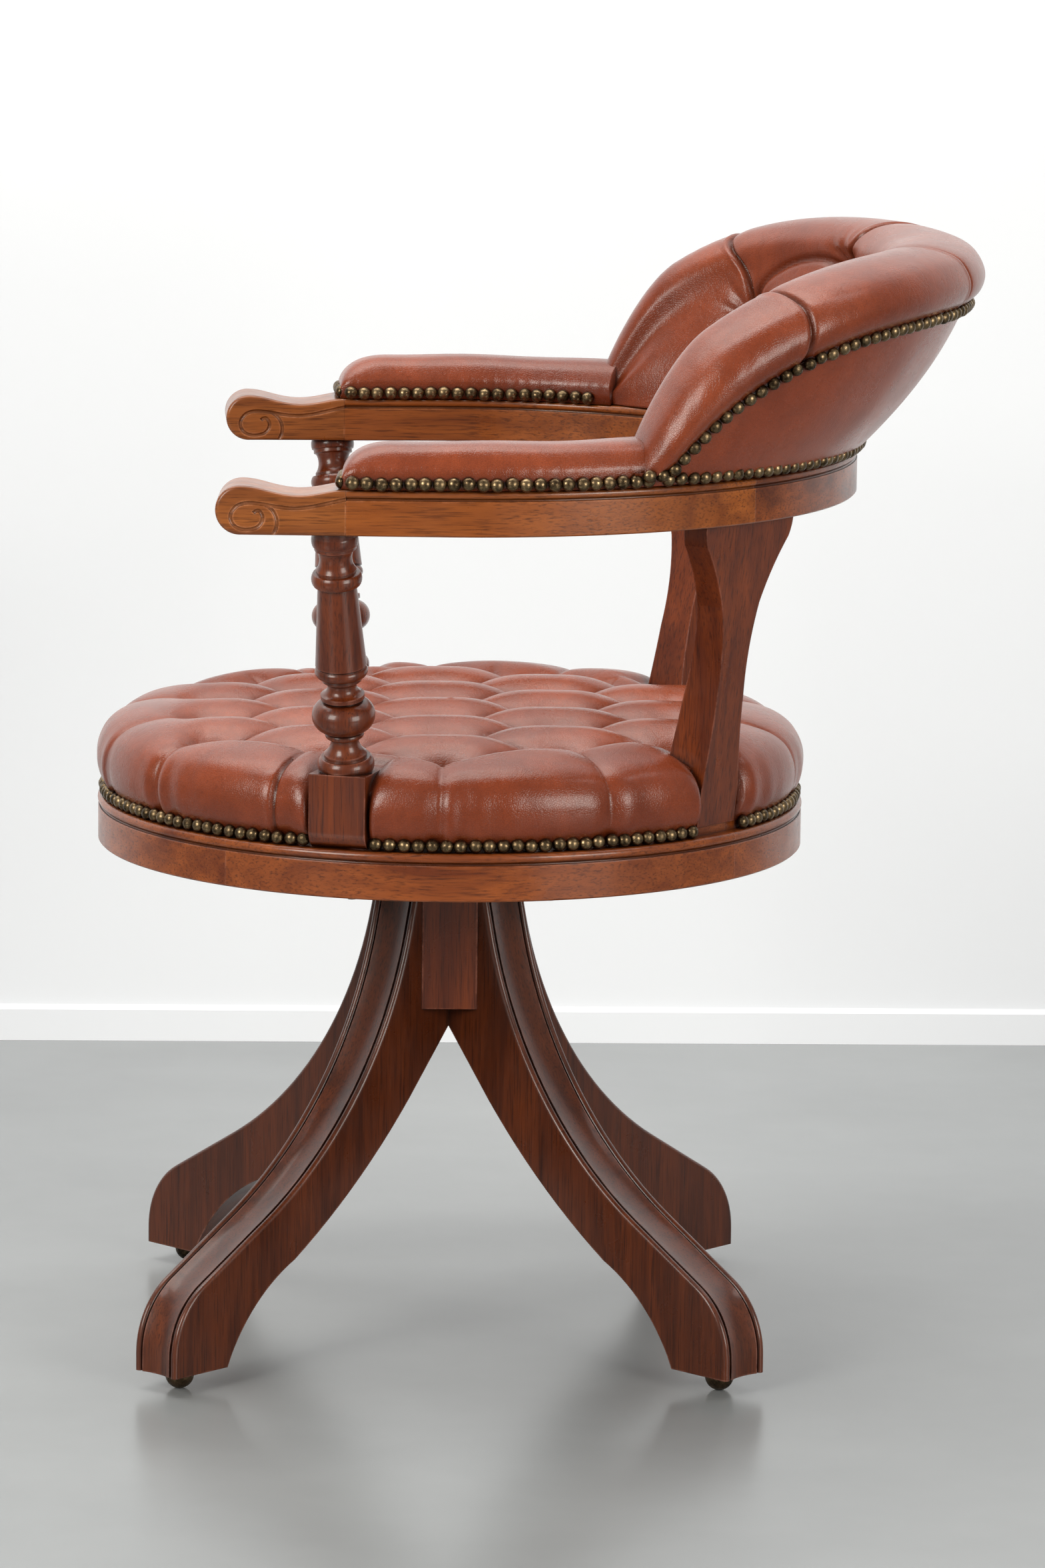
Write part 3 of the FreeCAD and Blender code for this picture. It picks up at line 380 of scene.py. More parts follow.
# ---- the seat -----------------------------------------------------------------------------------
# The diamond grid of buttons: its pitches, how far its middle row is off the axis, and each row's count.
PITCH_X, PITCH_Y, SHIFT_Y = 80.0, 85.0, -9.0
BUTTON_ROWS = ((-2, 4), (-1, 5), (0, 6), (1, 5), (2, 4))
PLEAT_DEPTH = 15.0
BUTTON_DEPTH = 12.0
BUTTON_SPREAD = 14.0
BUTTON_RADIUS = 8.0
# The buttons' tops follow the seat's crown: its height on the axis, and its fall with the radius squared.
CROWN_HEIGHT, CROWN_FALL = 476.5, 4e-5
PILLOW_FULLNESS, PANEL_FULLNESS = 0.50, 0.13
# How far past the outer buttons the diamonds turn into panels.
PANEL_BLEND = 30.0
SEAT_RINGS, SEAT_AROUND = 170, 760
SEAT_UNDERSIDE = 413.0
# How far the leather's edge turns in below the nails, and then under the seat.
TURNED_IN, TURNED_UNDER = 0.985, 231.0 / 248.0
# Upright footprints: centre angle from +X, inner and outer radius, half width.
UPRIGHTS = ((-19.0, 218.5, 259.0, 21.0), (199.0, 218.5, 259.0, 21.0), (48.0, 214.0, 250.0, 21.5),
            (132.0, 214.0, 250.0, 21.5))
# The cushion's outline from its top middle to its lower edge: radius and height.
SEAT_SECTION = ((0, 475), (60, 474.8), (120, 474.2), (170, 473), (205, 471), (228, 467.5), (244, 462),
                (254.5, 453.5), (260, 442), (261, 430), (258.5, 419), (254.5, 412), (252.8, 408),
                (252.6, 404.8))
SEAT_EDGE = 404.0


def turned_away(angle):
    """An angle brought between minus and plus half a turn."""
    return (angle + math.pi) % (2 * math.pi) - math.pi


def seat_buttons():
    """The diamond grid of buttons."""
    spots = []
    for row, count in BUTTON_ROWS:
        for k in range(count):
            spots.append(((k - (count - 1) / 2) * PITCH_X, SHIFT_Y + row * PITCH_Y))
    return np.array(spots)


def outer_buttons(spots):
    """The buttons next to the edge, in order round the seat."""
    rim = [spot for spot in spots
           if abs(spot[1] - SHIFT_Y) > 1.9 * PITCH_Y or abs(spot[0]) > 1.9 * PITCH_X]
    return np.array(sorted(rim, key=lambda spot: math.atan2(spot[1], spot[0])))


def lattice_pillows(x, y):
    """0 on the pleats between the buttons and 1 on top of each pillow."""
    step = (y - SHIFT_Y) / PITCH_Y
    whole = np.floor(step)
    part = step - whole
    bent = whole + 0.12 * part + 0.88 * smooth(part)
    a = x / PITCH_X + bent / 2
    b = -x / PITCH_X + bent / 2
    return (np.abs(np.cos(math.pi * a)) * np.abs(np.cos(math.pi * b))) ** PILLOW_FULLNESS


def edge_of_buttons(spots, turn):
    """The polygon through the outer buttons: its radius at each angle, and the share of its side passed."""
    rim = outer_buttons(spots)
    rim_angle = np.arctan2(rim[:, 1], rim[:, 0])
    wrapped = np.concatenate([rim_angle - 2 * math.pi, rim_angle, rim_angle + 2 * math.pi])
    corners = np.concatenate([rim, rim, rim])
    k = np.searchsorted(wrapped, turn) - 1
    p, q = corners[k], corners[k + 1]
    side = q - p
    reach = p[:, 0] * side[:, 1] - p[:, 1] * side[:, 0]
    hull = reach / (np.cos(turn) * side[:, 1] - np.sin(turn) * side[:, 0])
    return hull, (turn - wrapped[k]) / (wrapped[k + 1] - wrapped[k])


def side_gathers(angle, along, share):
    """How deep the fine gathers are that run down the side from the pleats to the nails."""
    gathers = np.sin(angle * 61 + 1.7 * np.sin(angle * 7)) * (0.5 + 0.5 * np.sin(angle * 13 + 1.0))
    near_pleat = np.exp(-(np.minimum(share, 1 - share) / 0.13) ** 2)
    low = smooth((along - 0.60) / 0.25) * (1 - 0.5 * smooth((along - 0.93) / 0.07))
    return 1.5 * gathers * low * (0.25 + near_pleat)


def seat_shape():
    """The tufted cushion: a round section turned about the axis and pressed in by its buttons and pleats."""
    section = spline(SEAT_SECTION, SEAT_RINGS)
    radius, height = section[:, :1], section[:, 1:]
    angle = np.linspace(0, 2 * math.pi, SEAT_AROUND, endpoint=False)
    grid = np.stack([radius * np.cos(angle), radius * np.sin(angle), height * np.ones(SEAT_AROUND)], axis=2)
    x, y = grid[..., 0], grid[..., 1]
    spots = seat_buttons()
    turn = turned_away(angle)
    hull, share = edge_of_buttons(spots, turn)
    along = np.linspace(0.0, 1.0, SEAT_RINGS)[:, None]
    # Inside the polygon the pillows are diamonds, and outside they are panels that run to the edge.
    plan = np.hypot(x, y)
    held = np.minimum(plan, hull)
    inside = lattice_pillows(held * np.cos(turn), held * np.sin(turn))
    waver = 0.012 * np.sin(9 * turn) * np.sin(6 * along)
    panels = np.abs(np.sin(math.pi * np.clip(share + waver, 0, 1))) ** PANEL_FULLNESS
    outside = smooth((plan - hull) / PANEL_BLEND)
    pillows = inside * (1 - outside) + panels * outside
    shallower = 1 - 0.78 * smooth((along - 0.55) / 0.42)
    depth = PLEAT_DEPTH * shallower * (1 - pillows)
    for spot in spots:
        far = np.hypot(x - spot[0], (y - spot[1]) * 0.8)
        depth += BUTTON_DEPTH * np.exp(-(far / BUTTON_SPREAD) ** 1.35)
    depth += side_gathers(angle, along, share)
    out = normals(grid)
    # The middle point has no normal of its own, and is raised a little by what its ring is pressed in.
    out[0] = (0, 0, -1)
    grid = grid - out * depth[..., None]
    # The lower edge runs a little up and down.
    grid[..., 2] += 0.8 * np.sin(angle * 37 + 2.0) * smooth((along - 0.95) / 0.05)
    return tuck_round_uprights(grid)


def tuck_round_uprights(grid):
    """Presses the leather in where the uprights stand."""
    dip, dip_width, flat_width, clearance = 9.0, 7.0, 4.0, 6.0
    plan = np.hypot(grid[..., 0], grid[..., 1])
    turn = np.arctan2(grid[..., 1], grid[..., 0])
    for centre, inner, outer, half in UPRIGHTS:
        off = turned_away(turn - math.radians(centre))
        across = np.abs(plan * np.sin(off))
        forward = plan * np.cos(off)
        facing = np.cos(off) > 0
        gap = np.where(facing, np.maximum(across - half, inner - forward), 999.0)
        crease = np.where(gap > 0, np.exp(-(gap / dip_width) ** 1.3), 1.0)
        grid[..., 2] -= dip * crease * smooth((grid[..., 2] - SEAT_EDGE) / 30.0)
        squeeze = (1 - smooth(gap / flat_width)) * np.maximum(plan - (outer - clearance), 0) * facing
        scale = (plan - squeeze) / np.maximum(plan, 1e-6)
        grid[..., 0] *= scale
        grid[..., 1] *= scale
        plan = plan - squeeze
    return grid


def make_seat():
    """The leather cushion, closed underneath, and its covered buttons."""
    grid = seat_shape()
    under = grid[-1] * (TURNED_IN, TURNED_IN, 1.0)
    floor = under * (TURNED_UNDER, TURNED_UNDER, 0.0) + (0.0, 0.0, SEAT_UNDERSIDE)
    loops = np.vstack([grid[1:], under[None], floor[None]])
    ends = [grid[0, 0], (0.0, 0.0, SEAT_UNDERSIDE)]
    points = np.vstack([loops.reshape(-1, 3), ends])
    cushion = outwards(mesh_object("seat_leather", points, tube_faces(len(loops), SEAT_AROUND)))
    soft(cushion, HIDE, 0.8, "leather", "seat_cover", "seat_foam")
    spots = []
    for x, y in seat_buttons():
        height = CROWN_HEIGHT - PLEAT_DEPTH - BUTTON_DEPTH - CROWN_FALL * (x * x + y * y)
        spots.append((Vector((x, y, height)), Vector((0, 0, 1))))
    buttons = button_group("seat_covered_buttons", spots)
    soft(buttons, HIDE_SMOOTH, 1.0, "button_leather", "seat_buttons")


def button_group(name, spots):
    """Covered buttons: domes with a rolled edge."""
    half = [(0, 3.4), (0.45, 3.0), (0.8, 1.9), (0.97, 0.5), (1.0, -0.6), (0.9, -2.2), (0, -2.4)]
    return turned_group(name, spots, spline(half, 18) * (BUTTON_RADIUS, 1.0), 28)


def turned_group(name, spots, outline, around):
    """The same turned shape at each spot, its axis along the spot's direction."""
    points, faces = [], []
    middle = outline[1:-1]
    for centre, direction in spots:
        faces += tube_faces(len(middle), around, len(points))
        to_place = direction.to_track_quat("Z", "Y").to_matrix()
        spin = rng.uniform(0, 2 * math.pi)
        for radius, height in middle:
            for j in range(around):
                a = 2 * math.pi * j / around + spin
                rim = Vector((radius * math.cos(a), radius * math.sin(a), height))
                points.append(centre + to_place @ rim)
        for end in (outline[0], outline[-1]):
            points.append(centre + to_place @ Vector((0, 0, end[1])))
    return outwards(mesh_object(name, [tuple(p) for p in points], faces))


# ---- arm pads -----------------------------------------------------------------------------------
ARM_RADIUS, ARM_TAPER = 272.5, math.radians(2.0)
PAD_FRONT_Y, PAD_BACK_DEGREES = -83.0, 30.0
# Where the pads start and end, as lengths along the arm's centre line from the start of its taper.
PAD_FRONT = (PAD_FRONT_Y + ARM_RADIUS * math.sin(ARM_TAPER)) / math.cos(ARM_TAPER)
PAD_BACK = ARM_RADIUS * (math.radians(PAD_BACK_DEGREES) + ARM_TAPER)
PAD_LOW, PAD_HIGH, PAD_HALF_WIDTH = 667.2, 698.5, 23.6
# The pad's sides rise straight this far before its dome starts.
PAD_SIDE = 7.0


def arm_line(along):
    """A point on the left arm's centre line at a length from its taper's start, and the way outwards."""
    if along < 0:
        way = np.array([math.cos(ARM_TAPER), -math.sin(ARM_TAPER)])
        return ARM_RADIUS * way + along * np.array([math.sin(ARM_TAPER), math.cos(ARM_TAPER)]), way
    angle = along / ARM_RADIUS - ARM_TAPER
    way = np.array([math.cos(angle), math.sin(angle)])
    return ARM_RADIUS * way, way


def rounded_end(from_end, length, power):
    """0 at an end, rising to 1 at a length from it."""
    return math.sqrt(max(0.0, 1 - (1 - min(from_end / length, 1)) ** power))


def make_arm_pad(side):
    """A leather arm pad: domed, drawn down to its nails, puckered at its front end."""
    stations, around = 190, 72
    sections = []
    for i in range(stations):
        # Stations crowd together at the rounded front end.
        along = PAD_FRONT + (PAD_BACK - PAD_FRONT) * (i / (stations - 1)) ** 1.35
        centre, way = arm_line(along)
        rise = rounded_end(along - PAD_FRONT, 40.0, 2.4)
        narrow = 0.90 + 0.10 * rounded_end(along - PAD_FRONT, 14.0, 2)
        dome = (PAD_HIGH - PAD_LOW - PAD_SIDE) * rise
        ring = []
        for j in range(around):
            a = 2 * math.pi * j / around
            c, s = math.cos(a), math.sin(a)
            up = dome * max(s, 0.0) ** 0.80 + PAD_SIDE * (s > 0) * min(1.0, s * 8)
            belly = 1.9 * math.exp(-((up - 13.0) / 7.0) ** 2) * rise
            creases = 0.35 * abs(math.sin(along * 0.31 + 3 * c)) * math.exp(-((up - 11.0) / 6.0) ** 2)
            wide = PAD_HALF_WIDTH * narrow * abs(c) ** 0.62 + belly + creases
            place = centre + math.copysign(wide, c) * way
            z = PAD_LOW + up + 0.5 * math.sin(along / 17.0 + c) * max(s, 0) * rise
            ring.append((side * place[0], place[1], z))
        sections.append(ring)
    hand = "left" if side > 0 else "right"
    pad = loft("arm_pad_leather_" + hand, np.array(sections))
    soft(pad, HIDE, 0.9, "leather", "arm_pad_" + hand)


# ---- the back -----------------------------------------------------------------------------------
# The back is drawn round the upright line at (0, BACK_Y). Its turns are angles from +Y about that line.
BACK_Y = 70.0
RAIL_TOP = 667.4
# The back leans out as a barrel: its foot's height, the rise over which it leans, and how far it widens.
BARREL_FOOT, BARREL_RISE, BARREL_FLARE = 667.0, 108.0, 6.0
# Foot radii of the frame's outside, the outer leather, the inner leather low and at mid height, and the
# line on which the leather goes back up to its nails.
FRAME_RADIUS, OUTER_RADIUS, INNER_RADIUS, INNER_MID_RADIUS, RETURN_RADIUS = 296.0, 296.2, 248.0, 247.0, 276.0
MEAN_RADIUS = 280.0
# The roll along the top: its crest, and how it drops to its ends.
ROLL_CREST, ROLL_DROP, ROLL_POWER, ROLL_HALF = 792.0, 106.0, 4.6, 28.0
ROLL_SPAN = math.radians(77.0)
ROLL_TIP = math.radians(79.5)
ROLL_ROUNDED = math.radians(66.0)
PLEATS = tuple(math.radians(a) for a in (-55.0, -19.0, 19.0, 55.0))
# The buttons of one side: turn in degrees, and height.
BACK_BUTTONS = {"upper": (22.6, 786.0), "lower": (47.4, 744.0)}
# Deep creases: the button each starts from, the turns and heights it passes, the button it ends at, how
# many points it is drawn with, and its depth and width.
CREASES = (
    ("lower", ((45.5, 766.0), (39.0, 783.0), (30.0, 790.0)), "upper", 90, 4.0, 2.4),
    ("lower", ((48.0, 715.0), (50.0, 690.0)), None, 60, 2.0, 2.6),
    ("upper", ((20.0, 735.0), (19.0, 690.0)), None, 60, 2.6, 2.6),
)
OVER_POINTS, UNDER_POINTS = 150, 26


def barrel_radius(turn, low_radius, z):
    """The radius about the back's line of the barrel whose foot is a circle about the swivel axis."""
    rise = (z - BARREL_FOOT) / BARREL_RISE
    shift = BACK_Y * (1.0 - rise)
    radius = low_radius + BARREL_FLARE * rise
    across = np.sqrt(np.maximum(radius ** 2 - (shift * np.sin(turn)) ** 2, 0.0))
    return float(across - shift * np.cos(turn))


def roll_centre(turn):
    """The roll's centre radius and height at a turn, and its half height."""
    share = abs(turn) / ROLL_SPAN
    height = ROLL_CREST - ROLL_DROP * share ** ROLL_POWER
    radius = barrel_radius(turn, FRAME_RADIUS, height - 16.0) - 14.0
    steep = ROLL_DROP * ROLL_POWER * share ** (ROLL_POWER - 1.0) / (ROLL_SPAN * MEAN_RADIUS)
    return radius, height, ROLL_HALF * math.sqrt(1 + steep ** 2)


def end_fullness(turn):
    """1 along the roll, falling to 0 round its front tip."""
    past = np.clip((abs(turn) - ROLL_ROUNDED) / (ROLL_TIP - ROLL_ROUNDED), 0.0, 1.0)
    return math.sqrt(max(0.0, 1.0 - past ** 2))


def nail_line(turn):
    """Where the roll's nails run: radius and height on the outer leather."""
    _, height, tall = roll_centre(turn)
    lowest = RAIL_TOP + 8.0
    z = lowest + max(height - 0.66 * tall - lowest, 0.0) * end_fullness(turn) ** 0.5
    return outer_radius(turn, z) + 1.0, z


def outer_radius(turn, z):
    """The radius of the outer leather, which is full in its middle."""
    _, height, tall = roll_centre(turn)
    rise = max(height - 0.5 * tall - RAIL_TOP, 12.0)
    t = np.clip((z - RAIL_TOP) / rise, 0.0, 1.0)
    belly = 10.0 * np.sin(math.pi * t) ** 0.8 * max(math.cos(turn), 0.0) ** 0.5 * rise / 110.0
    return barrel_radius(turn, OUTER_RADIUS, z) + belly


def back_section(turn):
    """One closed section of the back's leather: over the roll, down inside, and back up the frame."""
    radius, height, tall = roll_centre(turn)
    full = end_fullness(turn)
    nail_radius, nail_z = nail_line(turn)
    at_nails = [(nail_radius - 1.5, nail_z - 1.0), (nail_radius + 1.5, nail_z + 2.5)]
    mid_z = RAIL_TOP + 0.50 * (height - RAIL_TOP)
    wide = 1.0 - 0.35 * float(smooth((abs(turn) - 0.6) / 0.8))
    over_roll = [
        (radius + 26, height - 0.26 * tall),
        (radius + 28.5, height + 0.15 * tall),
        (radius + 20, height + 0.70 * tall),
        (radius + 2, height + 0.97 * tall),
        (radius - 20 * wide, height + 1.03 * tall),
        (radius - 38 * wide, height + 0.86 * tall),
        (radius - 47 * wide - 2, height + 0.46 * tall),
        (radius - 50 * wide - 2, height - 6 - 10 * (1 - wide)),
        (barrel_radius(turn, INNER_MID_RADIUS, mid_z) - 8.0 * full, mid_z),
        (barrel_radius(turn, INNER_RADIUS, RAIL_TOP), RAIL_TOP),
    ]
    # Round its front tips the roll shrinks down to the middle of the arm rail.
    middle, squeeze = barrel_radius(turn, ARM_RADIUS, RAIL_TOP), full ** 0.50
    over = at_nails + [(middle + (across - middle) * squeeze, RAIL_TOP + (z - RAIL_TOP) * full)
                       for across, z in over_roll]
    inner = over[-1][0]
    under = []
    for z in (RAIL_TOP, nail_z - 4):
        across = (barrel_radius(turn, RETURN_RADIUS, z) - inner) * max(full, 0.05)
        under.append((inner + across, RAIL_TOP + (z - RAIL_TOP) * full))
    return over, [*under, over[0]]


def inner_point(grid, turns, degrees, z):
    """The point of the inner face at an angle and height, as grid indices."""
    i = int(np.argmin(np.abs(turns - math.radians(degrees))))
    start = int(np.argmax(grid[i, :OVER_POINTS, 2]))
    j = start + int(np.argmin(np.abs(grid[i, start:OVER_POINTS, 2] - z)))
    return i, j


def pleat_depth(grid, line, deep, wide):
    """How deep a pleat along a line presses each point of a grid."""
    nearest = np.full(grid.shape[:2], 1e9)
    for point in line:
        nearest = np.minimum(nearest, np.linalg.norm(grid - point, axis=2))
    return deep * np.exp(-(nearest / wide) ** 1.6) + 0.30 * deep * np.exp(-(nearest / (5 * wide)) ** 2)


def back_grid(turns):
    """The back's leather before it is pressed in, as a closed section at each turn."""
    grid = np.zeros((len(turns), OVER_POINTS + UNDER_POINTS, 3))
    for i, turn in enumerate(turns):
        over, under = back_section(turn)
        returning = spline([over[-1], *under], UNDER_POINTS + 2)[1:-1]
        section = np.vstack([spline(over, OVER_POINTS), returning])
        grid[i, :, 0] = section[:, 0] * math.sin(turn)
        grid[i, :, 1] = BACK_Y + section[:, 0] * math.cos(turn)
        grid[i, :, 2] = section[:, 1]
    return grid


def roll_pleats(turns, v, spots):
    """How deep the pleats press that run over the roll to the buttons."""
    depth = 0.0
    for pleat in PLEATS:
        side = 1 if pleat > 0 else -1
        button = spots[side, "upper" if abs(pleat) < 0.5 else "lower"]
        goal, stop = turns[button[0]], button[1] / (OVER_POINTS - 1.0)
        line = pleat + (goal - pleat) * smooth((v - 0.50) / (stop - 0.50))
        off = (turns[:, None] - line) * MEAN_RADIUS * side
        run = (1 - smooth((v - stop) / 0.03)) * (v < 1.0)
        depth += run * (4.8 * np.exp(-(np.abs(off) / 1.7) ** 1.4) + 1.0 * np.exp(-(off / 8.0) ** 2)
                        - 1.1 * np.exp(-((off - 4.6) / 3.0) ** 2))
    return depth


def make_back_leather():
    """The padded leather from the nails, over the roll and down inside to the arm rail."""
    stations = 700
    turns = np.linspace(-1.0, 1.0, stations)
    turns = ROLL_TIP * (turns + 0.10 * np.sin(math.pi * turns) / math.pi) * 0.9995
    grid = back_grid(turns)
    out = normals(grid)
    if out[stations // 2, OVER_POINTS // 2, 2] < 0:
        out = -out
    v = np.arange(OVER_POINTS + UNDER_POINTS)[None, :] / (OVER_POINTS - 1.0)
    turn = turns[:, None]
    spots = {}
    for side in (-1, 1):
        for label, (degrees, z) in BACK_BUTTONS.items():
            spots[side, label] = inner_point(grid, turns, side * degrees, z)
    depth = roll_pleats(turns, v, spots)
    for i, j in spots.values():
        far = np.linalg.norm(grid - grid[i, j], axis=2)
        depth += 13.0 * np.exp(-(far / 17.0) ** 1.35)
        around = np.arctan2(grid[..., 2] - grid[i, j, 2], (turn - turns[i]) * 250.0)
        depth += 0.7 * np.sin(around * 11.0) * np.exp(-((far - 17.0) / 13.0) ** 2)
    for side in (-1, 1):
        for start, between, end, count, deep, wide in CREASES:
            route = [spots[side, start]] + [inner_point(grid, turns, side * a, z) for a, z in between]
            if end:
                route.append(spots[side, end])
            depth += pleat_depth(grid, spline([grid[k] for k in route], count), deep, wide)
    # Small creases fan over the steep ends of the roll.
    fan = np.sin(turn * 150.0 + 7.0 * np.sin(5.0 * v) + 9.0 * v) * np.exp(-((v - 0.30) / 0.20) ** 2)
    depth += 0.08 * fan * smooth((np.abs(turn) - 0.75) / 0.35)
    grid = grid - out * depth[..., None]
    back = loft("back_leather", grid)
    soft(back, HIDE, 0.9, "leather", "back_roll", "back_pad")
    places = [(Vector(grid[i, j] + 2.2 * out[i, j]), Vector(out[i, j])) for i, j in spots.values()]
    buttons = button_group("back_covered_buttons", places)
    soft(buttons, HIDE_SMOOTH, 1.0, "button_leather", "back_buttons")


def make_outer_cover():
    """The smooth leather on the outside of the back, full in its middle and tight at its nails."""
    stations, across, thick = 360, 48, 2.0
    foot = RAIL_TOP + 0.2
    reach = ROLL_TIP - math.radians(0.6)
    grid = np.zeros((stations, 2 * across, 3))
    for i, turn in enumerate(np.linspace(-reach, reach, stations)):
        _, nail_z = nail_line(turn)
        top = max(nail_z + 2.0, RAIL_TOP + 4.0)
        for j in range(across):
            t = j / (across - 1)
            z = foot + (top - foot) * t
            waves = 0.25 * math.sin(turn * 23 + 2 * t) * math.sin(math.pi * t)
            outer = outer_radius(turn, z) + waves
            for row, radius in ((j, outer), (2 * across - 1 - j, outer - thick)):
                grid[i, row] = (radius * math.sin(turn), BACK_Y + radius * math.cos(turn), z)
    cover = loft("back_outer_leather", grid)
    soft(cover, HIDE_SMOOTH, 0.3, "leather", "back_outer_cover")


# ---- nails --------------------------------------------------------------------------------------
NAIL_PITCH = 10.3
# Half a nail's outline, from its crown to its foot: radius and height.
NAIL_OUTLINE = ((0, 4.1), (1.5, 3.9), (3.0, 3.2), (4.15, 2.1), (4.8, 0.8), (5.0, -0.3), (4.6, -1.1),
                (0, -1.2))
# How unevenly the nails are driven: their lean, and their shift in millimetres.
NAIL_LEAN, NAIL_SHIFT = 0.07, 0.22
SEAT_NAIL_RADIUS, SEAT_NAIL_Z = 255.6, 409.4
# Where the seat's nails run between the uprights, in degrees from +X.
SEAT_NAIL_RUNS = ((-14.1, 42.6), (53.4, 126.6), (137.4, 194.1), (203.9, 336.1))
# The arm's nails run on both sides of its pad up to the back, and then round the back's outside.
ARM_NAIL_OFFSET, ARM_NAIL_Z, BACK_NAIL_RADIUS = 26.4, 671.8, 299.0
ARM_NAILS_END = math.radians(PAD_BACK_DEGREES - 3.0)
FRONT_NAIL_PITCH = 9.0


def nail_group(name, node, spots):
    """Domed nail heads, each a little tilted and set a little high or low."""
    placed = []
    for place, direction in spots:
        lean = Vector(rng.normal(0, NAIL_LEAN, 3))
        shift = Vector(rng.normal(0, NAIL_SHIFT, 3))
        placed.append((Vector(place) + shift, (Vector(direction) + lean).normalized()))
    nails = turned_group(name, placed, np.array(NAIL_OUTLINE), 20)
    finish_with(nails, BRASS)
    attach(nails, "seat")
    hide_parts(node)


def evenly(points, pitch):
    """Spots a pitch apart along a line of points."""
    points = np.array(points, float)
    steps = np.linalg.norm(np.diff(points, axis=0), axis=1)
    total = np.concatenate([[0], np.cumsum(steps)])
    count = int(round(total[-1] / pitch))
    wanted = (np.arange(count) + 0.5) * total[-1] / count
    return np.stack([np.interp(wanted, total, points[:, k]) for k in range(3)], axis=1)


def arc(radius, z, angles):
    """Points on a level circle about the swivel axis."""
    return [(radius * math.cos(a), radius * math.sin(a), z) for a in angles]


def seat_nails():
    """The nails round the seat, between the uprights."""
    nails = []
    for start, end in SEAT_NAIL_RUNS:
        line = arc(SEAT_NAIL_RADIUS, SEAT_NAIL_Z, np.radians(np.linspace(start, end, 300)))
        nails += [(p, (p[0] / SEAT_NAIL_RADIUS, p[1] / SEAT_NAIL_RADIUS, 0.10))
                  for p in evenly(line, NAIL_PITCH)]
    return nails


def arm_nails():
    """The nails along both sides of each arm pad, across its front, and round the outside of the back."""
    nails = []
    line_end = ARM_RADIUS * (ARM_NAILS_END + ARM_TAPER)
    for outward in (1, -1):
        line = []
        for along in np.linspace(PAD_FRONT + 3.0, line_end, 400):
            centre, way = arm_line(along)
            line.append((*(centre + way * outward * ARM_NAIL_OFFSET), ARM_NAIL_Z))
        for p in evenly(line, NAIL_PITCH):
            angle = max(math.atan2(p[1], p[0]), -ARM_TAPER)
            nails.append((p, (outward * math.cos(angle), outward * math.sin(angle), 0.12)))
    centre, way = arm_line(PAD_FRONT)
    for k in (-2, -1, 0, 1, 2):
        nails.append(((*(centre + way * FRONT_NAIL_PITCH * k), ARM_NAIL_Z), (0.02, -1.0, 0.1)))
    nails += [((-p[0], p[1], p[2]), (-d[0], d[1], d[2])) for p, d in nails]
    first = ARM_NAILS_END + 0.02
    line = arc(BACK_NAIL_RADIUS, ARM_NAIL_Z, np.linspace(first, math.pi - first, 700))
    nails += [(p, (p[0] / BACK_NAIL_RADIUS, p[1] / BACK_NAIL_RADIUS, -0.05))
              for p in evenly(line, NAIL_PITCH)]
    return nails


def roll_nails():
    """The nails under the roll, on the outside of the back."""
    line = []
    last = ROLL_TIP * 0.985
    for turn in np.linspace(-last, last, 900):
        radius, z = nail_line(turn)
        line.append(((radius + 2.0) * math.sin(turn), BACK_Y + (radius + 2.0) * math.cos(turn), z))
    nails = []
    for p in evenly(line, NAIL_PITCH):
        away = math.hypot(p[0], p[1] - BACK_Y)
        nails.append((p, (p[0] / away, (p[1] - BACK_Y) / away, -0.42)))
    return nails


def make_nails():
    """The rows of nails round the seat, along the arms and back, and under the roll."""
    nail_group("nails_seat", "seat_nails", seat_nails())
    nail_group("nails_arms", "arm_nails", arm_nails())
    nail_group("nails_roll", "roll_nails", roll_nails())


# ---- the studio ---------------------------------------------------------------------------------
# Metres from here on: where the wall stands, how far the stage reaches, and the wall's height.
WALL_X, STAGE_REACH, WALL_HEIGHT = -1.02, 9.0, 6.0
SKIRTING_THICK, SKIRTING_HEIGHT = 0.004, 0.028
WARM, WHITE = (1.0, 0.965, 0.90), (1.0, 1.0, 1.0)
# Each lamp's name, place, target, width, height, watts and colour.
LAMPS = (
    ("key_left", (2.6, -2.4, 2.0), (0, 0, 0.5), 1.5, 1.7, 90.0, WARM),
    ("fill_right", (2.9, 2.4, 1.3), (0, 0, 0.5), 1.7, 1.7, 74.0, WARM),
    ("overhead", (-0.5, -0.5, 2.8), (0, 0, 0.2), 1.8, 2.4, 44.0, WARM),
    ("wall_wash", (0.2, 0.0, 3.4), (WALL_X, 0, 0.9), 5.0, 0.8, 44.0, WHITE),
)
WORLD_COLOUR, WORLD_STRENGTH = (1.0, 0.97, 0.91, 1), 0.36


def plane(name, near, far, material):
    """A stage rectangle that runs along Y, from one X and Z to another."""
    y = STAGE_REACH
    corners = [(near[0], -y, near[1]), (near[0], y, near[1]), (far[0], y, far[1]), (far[0], -y, far[1])]
    piece = mesh_object(name, np.array(corners) / MM, [(0, 1, 2, 3)])
    finish_with(piece, material)


def make_lamp(name, place, target, width, height, power, colour):
    """A rectangular lamp that faces its target."""
    lamp = bpy.data.lights.new(name, "AREA")
    lamp.shape, lamp.size, lamp.size_y = "RECTANGLE", width, height
    lamp.energy, lamp.color = power, colour
    holder = bpy.data.objects.new(name, lamp)
    holder.location = place
    holder.rotation_euler = (Vector(target) - Vector(place)).to_track_quat("-Z", "Y").to_euler()
    bpy.context.scene.collection.objects.link(holder)


